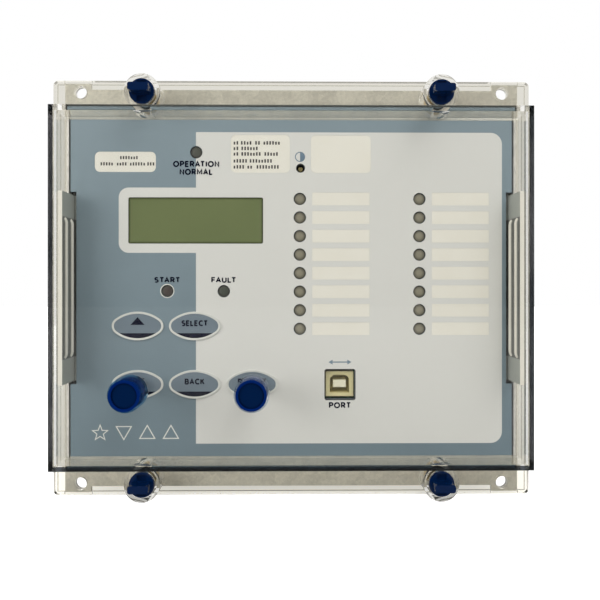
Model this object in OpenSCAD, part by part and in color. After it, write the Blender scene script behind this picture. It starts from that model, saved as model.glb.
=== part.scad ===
// Flush-mounted protection relay with a clear front cover.
// Millimetres. X to the right, Z up, the front looks towards -Y.
// The origin is the centre of the four fixing holes on the panel face.

/* [Case] */
// Outer width of the folded steel case
case_w = 195.5; // [170:0.5:240]
// Outer height of the folded steel case
case_h = 151; // [140:0.5:160]
// Depth of the case behind the panel face
case_d = 170; // [150:1:240]
// Thickness of the case sheet
sheet_t = 1.5; // [1:0.1:2]
// Inner radius of the flange fold
bend_r = 0.8; // [0.3:0.1:2]
// Height over the fixing tabs
tab_span = 176; // [174:0.5:200]
// How far the flange is cut back between the tabs
flange_cut = 2.5; // [0:0.1:4]
// Width of a fixing tab
tab_w = 11.25; // [9:0.25:20]
// Spacing of the fixing holes across
fix_x = 181.5; // [160:0.5:220]
// Spacing of the fixing holes upright
fix_z = 168; // [160:0.5:180]
// Diameter of a fixing hole
fix_d = 5; // [4:0.1:6]

/* [Terminal blocks] */
// Spacing of the terminal blocks and of the boards
block_pitch = 62; // [52:1:64]
// Width of a terminal block
block_w = 46; // [40:1:50]
// Height of a terminal block
block_h = 132; // [124:1:140]
// How far a block stands out behind the case
block_out = 16; // [12:0.5:24]
// Thickness of a block's base behind the rear plate
block_base = 8; // [6:0.5:10]
// Rows of terminals in a block
block_rows = 14; // [8:1:14]
// Spacing of the rows
row_pitch = 8.4; // [7.5:0.1:8.8]
// Distance of a terminal screw from the block's middle
term_x = 15.5; // [13:0.5:17]
// Radius of a terminal screw head
term_head_r = 2.9; // [2:0.1:3.1]
// Radius of a terminal screw shank
term_shank_r = 1.9; // [1.5:0.1:2]
// How far the block reaches into the case
nose_in = 12; // [8:0.5:16]

/* [Earth stud] */
// Position of the earth stud across
earth_x = 90.8; // [89:0.1:91.5]
// Position of the earth stud upright
earth_z = -40; // [-50:1:50]
// Radius of the earth stud
earth_r = 2.5; // [2:0.1:3]

/* [Chassis] */
// Gap between the fascia and the case all round
fascia_gap = 0.5; // [0.3:0.1:1]
// How far the overlay front stands before the panel face
overlay_front = 1.3; // [0.9:0.1:1.4]
// Thickness of the overlay film
overlay_t = 0.4; // [0.2:0.05:0.6]
// Thickness of the fascia moulding
fascia_t = 3; // [2.5:0.1:4]
// Depth of the fascia's returned edges
fascia_rim = 6; // [4:0.5:8]
// Thickness of the steel front plate
plate_t = 1.5; // [1:0.1:2]
// Thickness of the side plates
side_t = 1.2; // [1:0.1:1.6]
// Gap between a side plate and the case wall
side_gap = 0.3; // [0.2:0.05:0.5]
// Height of the side plates
side_h = 124; // [116:1:128]
// Length of the chassis behind the front plate
chassis_l = 148; // [130:1:149]
// Running gap between a side plate and its guides
guide_gap = 0.1; // [0.05:0.05:0.3]
// Front of the front board behind the panel face
board_y = 9; // [8:0.5:12]
// Thickness of the boards
board_t = 1.6; // [1:0.1:2]

/* [Handles] */
// Height of a handle
handle_h = 80; // [60:1:82]
// Gap between a handle and the outer face of the side plates
handle_gap = 0.05; // [0:0.05:0.5]
// Room between a handle and the wall of the cover
handle_room = 1.1; // [0.5:0.1:3]
// Room round a handle in the fascia
notch_gap = 1.2; // [0.6:0.1:2]
// Thickness of a handle blade
handle_t = 1.7; // [1.4:0.1:2]
// How far a handle stands before the panel face
handle_front = 16.4; // [12:0.2:17]
// Length of the grip ridges
ridge_l = 59; // [40:1:60]
// How proud the grip ridges stand
ridge_p = 1; // [0.6:0.1:1.4]
// Radius of the rounded grip ridges
ridge_r = 4; // [3:0.1:4.5]
// Distance of the first ridge before the panel face
ridge_back = 4.7; // [4:0.1:6]
// Spacing of the two ridges
ridge_pitch = 7.7; // [6:0.1:9]

/* [Display] */
// Middle of the display window across
lcd_x = -41.6; // [-45:0.1:-38]
// Middle of the display window upright
lcd_z = 29.2; // [27:0.1:31]
// Width of the display window
lcd_w = 58.2; // [50:0.1:60]
// Height of the display window
lcd_h = 20; // [16:0.1:22]
// Border of the display frame round the window
lcd_border = 3.6; // [3:0.1:4]

/* [Lamps] */
// Left lamp column across
lamp_x1 = 3.4; // [2:0.1:5]
// Distance of the right lamp column from the right handle notch
lamp_edge = 37.7; // [35:0.1:40]
// Height of the topmost lamp
lamp_top = 38.6; // [36:0.1:40]
// Spacing of the lamps
lamp_pitch = 8.04; // [7.5:0.01:8.1]
// Number of lamps in a column
lamp_n = 8; // [4:1:8]
// Radius of a lamp body
lamp_r = 2.4; // [1.8:0.05:2.5]
// Gap round a lamp in the fascia
lamp_gap = 0.2; // [0.1:0.05:0.3]

/* [Labels] */
// Width of a label window
label_w = 24.9; // [20:0.1:25.5]
// Height of a label window
label_h = 5.5; // [4:0.1:6.5]
// Middle of a label window from its lamp
label_dx = 17.8; // [17:0.1:18.5]
// Thickness of the label cards
card_t = 0.3; // [0.2:0.05:0.4]

/* [Keys] */
// Left key column across
key_x1 = -66.6; // [-68:0.1:-65]
// Middle key column across
key_x2 = -42; // [-43:0.1:-41]
// Right key column across
key_x3 = -17.2; // [-18:0.1:-16]
// Upper key row
key_z1 = -16.4; // [-18:0.1:-15]
// Lower key row
key_z2 = -41.6; // [-43:0.1:-40]
// Half width of a key
key_a = 10.7; // [9:0.1:11]
// Half height of a key
key_b = 5.8; // [5:0.1:6.5]
// End radius of a key
key_r = 3.4; // [2.5:0.1:4]
// Gap round a key
key_gap = 0.3; // [0.2:0.05:0.5]
// How proud a key stands of the overlay
key_proud = 0.5; // [0.2:0.1:0.8]
// Travel of a key
key_travel = 0.8; // [0.4:0.1:1]

/* [Socket and trimmer] */
// Middle of the data socket across
usb_x = 20.8; // [18:0.1:24]
// Middle of the data socket upright
usb_z = -41.85; // [-46:0.1:-38]
// Width and height of the socket opening
usb_open = 13; // [12.5:0.1:15]
// Trimmer across
trim_x = 3.7; // [2:0.1:5]
// Trimmer upright
trim_z = 51.9; // [50:0.1:54]
// Radius of the trimmer opening
trim_open_r = 1.86; // [1.7:0.02:2.2]
// Radius of the trimmer screw
trim_r = 1.35; // [1:0.05:1.5]

/* [Cover] */
// Width of the clear cover flange
rim_w = 204.5; // [203:0.5:240]
// Height of the clear cover flange
rim_h = 177.8; // [177:0.1:200]
// Thickness of the clear cover flange
rim_t = 2; // [1.5:0.1:3]
// Width of the lip round the back of the flange
lip_t = 1.2; // [0.6:0.1:1.4]
// Outer width of the cover box
cover_w = 198; // [197:0.5:240]
// Outer height of the cover box
cover_h = 149.2; // [147:0.2:152]
// Wall of the cover box
cover_t = 2; // [1.5:0.1:2.4]
// How far the cover stands before the panel face
cover_front = 19.9; // [19.5:0.1:24]
// Corner radius of the flange
rim_r = 2; // [1:0.1:4]
// Gap between the cover flange and the case flange
rim_gap = 0.1; // [0.05:0.05:0.3]
// How much larger the cover's holes are than the fixing holes behind them, in radius
fix_room = 0.2; // [0.1:0.05:1]

/* [Fasteners] */
// Fastener axis across
fast_x = 62; // [50:0.5:70]
// Fastener axis upright
fast_z = 81.2; // [81:0.1:81.4]
// Outer radius of a clear boss
boss_r = 7.4; // [7:0.1:7.5]
// Front of a boss before the panel face
boss_front = 15.5; // [13:0.1:17]
// Radius of the blue disc
knob_r = 5.25; // [4.5:0.05:5.3]
// Length of the grip bar
bar_l = 8.4; // [7:0.1:9]
// Width of the grip bar
bar_w = 3.2; // [2.5:0.1:4]
// Corner radius of the grip bar
bar_r = 0.9; // [0.3:0.1:1.2]
// Front of the grip bar before the panel face
bar_front = 23.3; // [18:0.1:24]
// Radius of the fastener shank
shank_r = 2; // [1.6:0.1:2.4]
// Running gap round the shank
shank_gap = 0.1; // [0.05:0.05:0.2]

/* [Push buttons] */
// Left button axis across
button_x1 = -65.3; // [-67:0.1:-64]
// Right button axis across
button_x2 = -15.9; // [-18:0.1:-15]
// Button axis upright
button_z = -42; // [-43:0.1:-41]
// Radius of a button cap
cap_r = 6.15; // [5.5:0.05:6.3]
// Gap between cap and collar
cap_gap = 0.2; // [0.1:0.05:0.4]
// Wall of the clear collar
collar_t = 0.6; // [0.5:0.1:1]
// Front of the collar before the panel face
collar_front = 30.7; // [28:0.1:33]
// Front of the cap before the panel face
cap_front = 32.5; // [32:0.1:36]
// Width of the raised rim round a cap's face
cap_rim = 1.1; // [0.8:0.1:1.5]
// Depth of the groove inside that rim
cap_groove = 1.2; // [0.8:0.1:1.5]
// Radius of a button stem
stem_r = 2.5; // [2:0.1:2.8]
// Running gap round a stem
stem_gap = 0.1; // [0.05:0.05:0.2]
// Travel of a button
button_travel = 2; // [1:0.1:2]

/* [Hidden] */
$fn = 64;
eps = 0.01;
case_in_w = case_w - 2 * sheet_t;
case_in_h = case_h - 2 * sheet_t;
flange_top = tab_span / 2 - flange_cut;
fascia_w = case_in_w - 2 * fascia_gap;
fascia_h = case_in_h - 2 * fascia_gap;
y_lay = -overlay_front;
y_fas = y_lay + overlay_t;
y_plate = y_fas + fascia_t;
y_side = y_plate + plate_t;
side_out = case_in_w / 2 - side_gap;
side_in = side_out - side_t;
side_end = y_side + chassis_l;
guide_in = 5;
guide_lap = 4;
guide_room = 0.5;
guide_end = 22;
vent_n = 9;
vent_w = 5;
vent_pitch = 11.5;
vent_lo = 10;
vent_start = 28;
vent_y = y_side + vent_start;
frame_t = 1.5;
frame_win_w = 20;
frame_win_h = 80;
frame_y = side_end - frame_t;
handle_out = min(side_out - handle_gap, cover_w / 2 - cover_t - handle_room);
handle_in = handle_out - handle_t;
ridge_end = sqrt(ridge_r * ridge_r - (ridge_r - ridge_p) * (ridge_r - ridge_p));
notch_x = handle_in - notch_gap;
notch_h = handle_h + 3;
foot_in = notch_x + 0.2;
lamp_x2 = notch_x - lamp_edge;
front_w = 2 * (notch_x - 0.1);
front_h = fascia_h - 6;
rim_y = -sheet_t - rim_gap;
rim_front = rim_y - rim_t;
cover_y = -cover_front;
plate_back = cover_y + cover_t;
key_front = y_lay - key_proud;
key_flange_y = y_fas + 1.8;
key_flange_t = 1;
key_lip = 1.1;
key_well = key_lip + key_gap;
key_end = key_flange_y + key_flange_t + 1.5;
switch_front = key_end + key_travel + 0.05;
stem_tip = key_front - button_travel - 0.1;
collar_in = cap_r + cap_gap;
cap_end = cover_y - button_travel - 0.2;
cap_wall_y = -cap_front + 3;
cap_bore_r = 4.8;
face_in = 0.6;
groove_w = 0.4;
coil_r = 3.7;
wire_r = 0.35;
disc_t = 1.8;
disc_y = -boss_front - 0.5;
floor_y = disc_y + disc_t;
floor_t = 2;
boss_in = boss_r - 1.5;
bush_r = 4;
bush_front = 4.5;
spigot_r = 3;
rear_y = case_d - sheet_t;
block_y = case_d + block_base;
nose_y = rear_y - nose_in;
nose_w = block_w - 8;
nose_h = block_h - 14;
pocket_z = row_pitch - 1.4;
plate_room = 0.2;
row_z0 = (block_rows - 1) * row_pitch / 2;
block_head_r = 2.8;
ear_z = block_h / 2 - 3.5;
card_w = label_w + 2.2;
card_lo = lamp_top - (lamp_n - 1) * lamp_pitch - 5;
card_hi = 68;
card_gap = 0.1;
window_top = 58;
window_top_w = 26;
window_top_h = 16.2;
name_x = -71.95;
name_z = 54.5;
name_w = 26.3;
name_h = 8.8;
rate_x = -13.65;
rate_z = 58.1;
rate_w = 25.5;
rate_h = 16.4;
status_at = [[-41.4, 58.7], [-53.9, -1.3], [-29.5, -1.4]];
key_at = [[key_x1, key_z1], [key_x2, key_z1], [key_x1, key_z2], [key_x2, key_z2], [key_x3, key_z2]];
switch_w = 6;
plunger_r = 1.75;
plunger_l = 1;
usb_w = 12.04;
usb_h = 10.9;
usb_y = y_lay + 2.9;
usb_l = 16;
usb_cav_w = 8.5;
usb_cav_h = 7.8;
m3_r = 1.25;
m3_head_r = 2.6;
m3_head_t = 1.8;
tab_lo = 44;
tab_hi = 60;
tab_inset = 5;
tab_x = notch_x - tab_inset;
handle_screw_y = y_side + 8;
handle_screw_z = 25;
ear_lo = 30;
ear_hi = 50;
ear_l = 12;
board_h = 112;
front_board_w = 2 * (side_in - 8.75);
front_board_h = front_h - 9;
pillar_x = front_board_w / 2 - 10;
pillar_z = front_board_h / 2 - 1.5;
pillar_r = 2.5;
core_r = 14;
core_hole_r = 5;
core_l = 17;
core_base = 30;
core_base_t = 5;
core_pitch_y = 40;
core_pitch_z = 34;
relay_l = 18;
relay_w = 15;
relay_h = 11;
relay_pitch_y = 26;
relay_pitch_z = 20;
coil_w = 26;
coil_l = 40;
coil_h = 24;
yoke_w = 18;
yoke_l = 26;
yoke_h = 38;
supply_z = 26;
can_r = 9;
can_l = 26;
can_foot_r = 9.4;
can_foot_t = 2;
can_pitch = 22;
can_z = -30;
board_start = 13;
parts_start = 27;
parts_y = board_start + parts_start;
slot_w = board_t + 0.1;
header_end = 17;
header_h = 80;
plug_h = 100;
plug_w = 12;
plug_nose_w = 7;
plug_nose_h = 96;
plug_nose_l = 10;
plug_l = 14;
plug_seat = 4;
plug_front = frame_y - plug_l;
plug_gap = 0.2;

// Shared shapes

// A box given by its two opposite corners
module span(a, b) {
  translate(a)
    cube(b - a);
}

// A round bar along Y from y0 to y1 at x, z
module bar_y(x, z, r, y0, y1) {
  translate([x, y0, z])
    rotate([-90, 0, 0])
      cylinder(r = r, h = y1 - y0);
}

// A flat shape drawn in X and Z, pushed from y0 to y1
module push_y(y0, y1) {
  translate([0, y1, 0])
    rotate([90, 0, 0])
      linear_extrude(y1 - y0)
        children();
}

// A rectangle with round corners
module round_rect(w, h, r) {
  square([w - 2 * r, h], center = true);
  square([w, h - 2 * r], center = true);
  for (sx = [-1, 1])
    for (sz = [-1, 1])
      translate([sx * (w / 2 - r), sz * (h / 2 - r)])
        circle(r);
}

// An oval of four arcs with half axes a and b and end radius r
module oval(a, b, r) {
  c = a - r;
  k = (c * c - (b - r) * (b - r)) / (2 * (b - r));
  big = k + b;
  cut = big * c / (big - r);
  for (s = [-1, 1])
    translate([s * c, 0])
      circle(r);
  intersection() {
    translate([0, -k])
      circle(big, $fn = 128);
    translate([0, k])
      circle(big, $fn = 128);
    square([2 * cut, 4 * b], center = true);
  }
}

// Mirrors its child to both sides of the middle
module both_x() {
  for (s = [0, 1])
    mirror([s, 0, 0])
      children();
}

// Mirrors its child above and below the middle
module both_z() {
  for (s = [0, 1])
    mirror([0, 0, s])
      children();
}

// Places its child at each lamp of a column
module at_lamps(x) {
  for (i = [0 : lamp_n - 1])
    translate([x, 0, lamp_top - i * lamp_pitch])
      children();
}

// Places its child at every terminal of a block
module at_terminals() {
  for (i = [0 : block_rows - 1])
    for (s = [0, 1])
      translate([0, 0, row_z0 - i * row_pitch])
        mirror([s, 0, 0])
          children();
}

// Places its child at the three blocks
module at_blocks() {
  for (i = [-1 : 1])
    translate([i * block_pitch, 0, 0])
      children();
}

// Case

// Section of the top sheet with its folded flange
module fold_section(top) {
  translate([bend_r, case_h / 2 - sheet_t])
    square([case_d - bend_r, sheet_t]);
  translate([-sheet_t, case_h / 2 + bend_r])
    square([sheet_t, top - case_h / 2 - bend_r]);
  translate([bend_r, case_h / 2 + bend_r])
    difference() {
      circle(bend_r + sheet_t);
      circle(bend_r);
      translate([0, -bend_r - 5])
        square([bend_r + 5, 2 * bend_r + 10]);
      translate([-bend_r - 5, 0])
        square([2 * bend_r + 10, bend_r + 5]);
    }
}

module case_shell() {
  color([0.7, 0.68, 0.62])
    difference() {
      union() {
        both_z()
          translate([-case_w / 2, 0, 0])
            rotate([90, 0, 90])
              linear_extrude(case_w)
                fold_section(flange_top);
        both_z()
          both_x()
            span([case_w / 2 - tab_w, -sheet_t, flange_top - 1], [case_w / 2, 0, tab_span / 2]);
        both_x()
          span([case_in_w / 2, -sheet_t, -case_h / 2 - bend_r],
            [case_w / 2, case_d, case_h / 2 + bend_r]);
      }
      both_z()
        both_x() {
          bar_y(fix_x / 2, fix_z / 2, fix_d / 2, -sheet_t - 1, 1);
          bar_y(fast_x, fast_z, spigot_r, -sheet_t - 1, 1);
        }
      both_x()
        both_z()
          span([case_in_w / 2 - 1, eps, case_h / 2], [case_w / 2 + 1, case_d + 1, case_h / 2 + 5]);
    }
}

module rear_plate() {
  color([0.7, 0.68, 0.62])
    difference() {
      span([-case_in_w / 2, rear_y, -case_in_h / 2], [case_in_w / 2, case_d, case_in_h / 2]);
      at_blocks() {
        span([-nose_w / 2 - card_gap, rear_y - 1, -nose_h / 2 - card_gap],
          [nose_w / 2 + card_gap, case_d + 1, nose_h / 2 + card_gap]);
        both_z()
          bar_y(0, ear_z, term_shank_r + 0.1, rear_y - 1, case_d + 1);
      }
      bar_y(earth_x, earth_z, earth_r + 0.1, rear_y - 1, case_d + 1);
    }
}

// One terminal block, about its own middle
module terminal_block() {
  difference() {
    union() {
      span([-block_w / 2, case_d, -block_h / 2], [block_w / 2, block_y, block_h / 2]);
      span([-block_w / 2, case_d, -row_z0 - row_pitch / 2 - 0.7],
        [block_w / 2, case_d + block_out, row_z0 + row_pitch / 2 + 0.7]);
      span([-nose_w / 2, nose_y, -nose_h / 2], [nose_w / 2, case_d, nose_h / 2]);
    }
    at_terminals() {
      span([term_x - 6, block_y, -pocket_z / 2], [block_w / 2 + 1, case_d + block_out + 1, pocket_z / 2]);
      bar_y(term_x, 0, term_shank_r + 0.1, case_d - 4, block_y + 1);
    }
    both_z()
      bar_y(0, ear_z, term_shank_r + 0.1, case_d - 1, block_y + 1);
    span([-plug_nose_w / 2 - plug_gap, nose_y - 1, -plug_nose_h / 2 - plug_gap],
      [plug_nose_w / 2 + plug_gap, side_end + plug_nose_l + 0.5, plug_nose_h / 2 + plug_gap]);
    span([-2, block_y + 3, -row_z0], [2, case_d + block_out + 1, row_z0]);
  }
}

module terminal_block_left() {
  color([0.08, 0.08, 0.09])
    translate([-block_pitch, 0, 0])
      terminal_block();
}

module terminal_block_middle() {
  color([0.08, 0.08, 0.09])
    terminal_block();
}

module terminal_block_right() {
  color([0.08, 0.08, 0.09])
    translate([block_pitch, 0, 0])
      terminal_block();
}

module terminal_screws() {
  color([0.75, 0.76, 0.78])
    at_blocks()
      at_terminals()
        difference() {
          union() {
            bar_y(term_x, 0, term_head_r, block_y + 1, block_y + 3.4);
            bar_y(term_x, 0, term_shank_r, case_d - 2, block_y + 1.2);
          }
          span([term_x - 4, block_y + 2.3, -0.4], [term_x + 4, block_y + 4, 0.4]);
          span([term_x - 0.4, block_y + 2.3, -4], [term_x + 0.4, block_y + 4, 4]);
        }
}

module terminal_plates() {
  color([0.78, 0.74, 0.6])
    at_blocks()
      at_terminals()
        difference() {
          span([term_x - 5.5, block_y, plate_room - pocket_z / 2],
            [term_x + 6.5, block_y + 1, pocket_z / 2 - plate_room]);
          bar_y(term_x, 0, term_shank_r + 0.1, block_y - 1, block_y + 2);
        }
}

module block_screws() {
  color([0.75, 0.76, 0.78])
    at_blocks()
      both_z()
        difference() {
          union() {
            bar_y(0, ear_z, block_head_r, block_y, block_y + 2.6);
            bar_y(0, ear_z, term_shank_r, rear_y - 3, block_y + 0.5);
          }
          span([-5, block_y + 1.4, ear_z - 0.5], [5, block_y + 3, ear_z + 0.5]);
        }
}

module earth_stud() {
  color([0.8, 0.78, 0.66])
    union() {
      bar_y(earth_x, earth_z, earth_r, rear_y - 1, case_d + 16);
      bar_y(earth_x, earth_z, 4, rear_y - 3, rear_y);
    }
}

module earth_nut() {
  color([0.8, 0.78, 0.66])
    difference() {
      union() {
        translate([earth_x, case_d, earth_z])
          rotate([-90, 0, 0])
            cylinder(r = 4.6, h = 5, $fn = 6);
        bar_y(earth_x, earth_z, 5, case_d, case_d + 1);
      }
      bar_y(earth_x, earth_z, earth_r, case_d - 1, case_d + 6);
    }
}

module chassis_guides() {
  color([0.15, 0.15, 0.16])
    both_x()
      both_z()
        difference() {
          span([side_in - guide_in, board_y + 2.5, side_h / 2 - guide_lap],
            [case_in_w / 2, rear_y - guide_end, case_in_h / 2]);
          span([side_in - 0.15, 0, side_h / 2 - guide_lap - 1],
            [case_in_w / 2 + 1, rear_y, side_h / 2 + guide_gap]);
        }
}

module cover_bushes() {
  color([0.78, 0.72, 0.5])
    both_x()
      both_z()
        difference() {
          union() {
            bar_y(fast_x, fast_z, bush_r, -bush_front, -sheet_t);
            bar_y(fast_x, fast_z, spigot_r, -bush_front, 0);
          }
          bar_y(fast_x, fast_z, shank_r + shank_gap, -bush_front - 1, 1);
        }
}

// Chassis

module front_plate() {
  color([0.68, 0.68, 0.66])
    difference() {
      union() {
        span([-front_w / 2, y_plate, -front_h / 2], [front_w / 2, y_side, front_h / 2]);
        both_x()
          both_z()
            bar_y(pillar_x, pillar_z, pillar_r, y_plate, board_y);
      }
      span([lcd_x - lcd_w / 2 - lcd_border - 0.3, 0, lcd_z - lcd_h / 2 - lcd_border - 0.3],
        [lcd_x + lcd_w / 2 + lcd_border + 0.3, board_y, lcd_z + lcd_h / 2 + lcd_border + 0.3]);
      for (p = key_at)
        translate([p[0], 0, p[1]])
          push_y(0, board_y)
            oval(key_a + key_well, key_b + key_well, key_r + key_well);
      for (p = status_at)
        bar_y(p[0], p[1], lamp_r + 0.8, 0, board_y);
      for (x = [lamp_x1, lamp_x2])
        at_lamps(x)
          bar_y(0, 0, lamp_r + 0.8, 0, board_y);
      bar_y(trim_x, trim_z, 3, 0, board_y);
      span([usb_x - usb_open / 2 - 1, 0, usb_z - usb_open / 2 - 1],
        [usb_x + usb_open / 2 + 1, board_y, usb_z + usb_open / 2 + 1]);
      both_x()
        both_z()
          bar_y(tab_x, (tab_lo + tab_hi) / 2, m3_r + 0.3, 0, board_y);
    }
}

// Right side plate
module side_plate() {
  difference() {
    union() {
      span([side_in, y_side, -side_h / 2], [side_out, side_end, side_h / 2]);
      both_z()
        span([tab_x - 5, y_side, tab_lo], [side_in + eps, y_side + side_t, tab_hi]);
    }
    both_z()
      bar_y(tab_x, (tab_lo + tab_hi) / 2, m3_r + 0.1, 0, y_side + 5);
    both_z()
      translate([side_in - 1, handle_screw_y, handle_screw_z])
        rotate([0, 90, 0])
          cylinder(r = m3_r, h = side_t + 2);
    both_z()
      translate([side_in - 1, frame_y - ear_l / 2, (ear_lo + ear_hi) / 2])
        rotate([0, 90, 0])
          cylinder(r = m3_r, h = side_t + 2);
    for (i = [0 : vent_n - 1])
      both_z()
        span([side_in - 1, vent_y + i * vent_pitch, vent_lo],
          [side_out + 1, vent_y + i * vent_pitch + vent_w, side_h / 2 - vent_lo]);
  }
}

module side_plate_right() {
  color([0.68, 0.68, 0.66])
    side_plate();
}

module side_plate_left() {
  color([0.68, 0.68, 0.66])
    mirror([1, 0, 0])
      side_plate();
}

module rear_frame() {
  color([0.68, 0.68, 0.66])
    difference() {
      union() {
        span([-side_in, frame_y, -side_h / 2], [side_in, side_end, side_h / 2]);
        both_x()
          both_z()
            span([side_in - side_t, frame_y - ear_l, ear_lo], [side_in, frame_y + eps, ear_hi]);
      }
      at_blocks()
        span([-plug_nose_w / 2 - plug_gap, frame_y - 1, -plug_nose_h / 2 - plug_gap],
          [plug_nose_w / 2 + plug_gap, side_end + 1, plug_nose_h / 2 + plug_gap]);
      both_x()
        both_z()
          translate([side_in - side_t - 1, frame_y - ear_l / 2, (ear_lo + ear_hi) / 2])
            rotate([0, 90, 0])
              cylinder(r = m3_r + 0.1, h = side_t + 2);
      for (s = [-1, 1])
        translate([s * block_pitch / 2, 0, 0])
          span([-frame_win_w / 2, frame_y - 1, -frame_win_h / 2],
            [frame_win_w / 2, side_end + 1, frame_win_h / 2]);
      both_x()
        both_z()
          span([side_in - guide_in - guide_room, frame_y - 1, side_h / 2 - guide_lap - guide_room],
            [side_in + 1, side_end + 1, side_h / 2 + 1]);
    }
}

// A pan head screw with its shank along +Z from the head's seat
module pan_screw(l) {
  difference() {
    union() {
      translate([0, 0, -m3_head_t])
        cylinder(r = m3_head_r, h = m3_head_t);
      cylinder(r = m3_r, h = l);
    }
    translate([-0.35, -3, -m3_head_t - 1])
      cube([0.7, 6, 1.8]);
  }
}

module frame_screws() {
  color([0.78, 0.78, 0.8])
    both_x()
      both_z() {
        translate([tab_x, y_side + side_t, (tab_lo + tab_hi) / 2])
          rotate([90, 0, 0])
            pan_screw(side_t + plate_t + 1.8);
        translate([foot_in, handle_screw_y, handle_screw_z])
          rotate([0, 90, 0])
            pan_screw(side_out - foot_in);
        translate([side_in - side_t, frame_y - ear_l / 2, (ear_lo + ear_hi) / 2])
          rotate([0, 90, 0])
            pan_screw(2 * side_t);
      }
}

// Openings that the overlay and the fascia share, r is the lamp hole radius
module face_openings(r, kgap) {
  for (p = status_at)
    translate(p)
      circle(r);
  for (x = [lamp_x1, lamp_x2])
    for (i = [0 : lamp_n - 1])
      translate([x, lamp_top - i * lamp_pitch])
        circle(r);
  for (p = key_at)
    translate(p)
      oval(key_a + kgap, key_b + kgap, key_r + kgap);
  translate([usb_x, usb_z])
    square(usb_open, center = true);
  translate([trim_x, trim_z])
    circle(trim_open_r);
}

// Outline with the notches that the handles pass through
module face_outline(w, h) {
  difference() {
    square([w, h], center = true);
    for (s = [-1, 1])
      translate([s * (notch_x + 10), 0])
        square([20, notch_h], center = true);
  }
}

module fascia() {
  color([0.5, 0.55, 0.58])
    difference() {
      union() {
        push_y(y_fas, y_plate)
          face_outline(fascia_w, fascia_h);
        both_z()
          span([-notch_x, y_plate - eps, front_h / 2 + 0.2], [notch_x, y_plate + fascia_rim, fascia_h / 2]);
      }
      push_y(y_fas - 1, y_plate + 1)
        face_openings(lamp_r + lamp_gap, key_gap);
      span([lcd_x - lcd_w / 2 - lcd_border - 0.1, y_fas - 1, lcd_z - lcd_h / 2 - lcd_border - 0.1],
        [lcd_x + lcd_w / 2 + lcd_border + 0.1, y_plate + 1, lcd_z + lcd_h / 2 + lcd_border + 0.1]);
      for (p = key_at)
        translate([p[0], 0, p[1]])
          push_y(key_flange_y, y_plate + 1)
            oval(key_a + key_well, key_b + key_well, key_r + key_well);
      for (x = [lamp_x1, lamp_x2])
        span([x + label_dx - card_w / 2 - card_gap, y_fas - 1, card_lo - card_gap],
          [x + label_dx + card_w / 2 + card_gap, y_fas + card_t, card_hi + card_gap]);
      span([name_x - name_w / 2 - 1.1, y_fas - 1, name_z - name_h / 2 - 1.1],
        [name_x + name_w / 2 + 1.1, y_fas + card_t, name_z + name_h / 2 + 1.1]);
      span([rate_x - rate_w / 2 - 1.1, y_fas - 1, rate_z - rate_h / 2 - 1.1],
        [rate_x + rate_w / 2 + 1.1, y_fas + card_t, rate_z + rate_h / 2 + 1.1]);
      both_x()
        both_z()
          bar_y(tab_x, (tab_lo + tab_hi) / 2, m3_r, y_plate - 2, y_plate + 1);
    }
}

module overlay() {
  color([0.55, 0.6, 0.63])
    push_y(y_lay, y_fas)
      difference() {
        face_outline(fascia_w - 0.6, fascia_h - 0.6);
        face_openings(lamp_r + lamp_gap + 0.1, key_gap);
        translate([lcd_x, lcd_z])
          round_rect(lcd_w, lcd_h, 0.8);
        for (x = [lamp_x1, lamp_x2])
          for (i = [0 : lamp_n - 1])
            translate([x + label_dx, lamp_top - i * lamp_pitch])
              square([label_w, label_h], center = true);
        translate([lamp_x1 + label_dx, window_top])
          round_rect(window_top_w, window_top_h, 2);
        translate([name_x, name_z])
          round_rect(name_w, name_h, 2.2);
        translate([rate_x, rate_z])
          round_rect(rate_w, rate_h, 2);
      }
}

// Right handle, a thin blade with two grip ridges on its inner face
module handle() {
  span([handle_in, -handle_front, -handle_h / 2], [handle_out, y_plate + 0.4, handle_h / 2]);
  span([foot_in, y_fas + 1.4, -handle_h / 2], [handle_out, y_plate + 0.4, handle_h / 2]);
  difference() {
    span([foot_in, y_fas + 1.4, -handle_h / 2 + 4], [side_in, y_side + 14, handle_h / 2 - 4]);
    both_z()
      translate([foot_in - 1, handle_screw_y, handle_screw_z])
        rotate([0, 90, 0])
          cylinder(r = m3_r + 0.1, h = side_in - foot_in + 2);
  }
  for (y = [-ridge_back, -ridge_back - ridge_pitch])
    intersection() {
      translate([handle_in + ridge_r - ridge_p, y, 0])
        union() {
          translate([0, 0, ridge_end - ridge_l / 2])
            cylinder(r = ridge_r, h = ridge_l - 2 * ridge_end);
          for (s = [-1, 1])
            translate([0, 0, s * (ridge_l / 2 - ridge_end)])
              sphere(ridge_r);
        }
      span([handle_in - ridge_r, y - ridge_r, -ridge_l / 2], [handle_in + 0.3, y + ridge_r, ridge_l / 2]);
    }
}

module handle_right() {
  color([0.8, 0.79, 0.74])
    handle();
}

module handle_left() {
  color([0.8, 0.79, 0.74])
    mirror([1, 0, 0])
      handle();
}

module lcd_frame() {
  color([0.1, 0.1, 0.11])
    difference() {
      span([lcd_x - lcd_w / 2 - lcd_border, y_fas, lcd_z - lcd_h / 2 - lcd_border],
        [lcd_x + lcd_w / 2 + lcd_border, board_y, lcd_z + lcd_h / 2 + lcd_border]);
      span([lcd_x - lcd_w / 2 - 1.6, y_fas - 1, lcd_z - lcd_h / 2 - 1.6],
        [lcd_x + lcd_w / 2 + 1.6, y_plate, lcd_z + lcd_h / 2 + 1.6]);
    }
}

module lcd_glass() {
  color([0.45, 0.47, 0.3])
    span([lcd_x - lcd_w / 2 - 1.5, y_fas, lcd_z - lcd_h / 2 - 1.5],
      [lcd_x + lcd_w / 2 + 1.5, y_plate, lcd_z + lcd_h / 2 + 1.5]);
}

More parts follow.
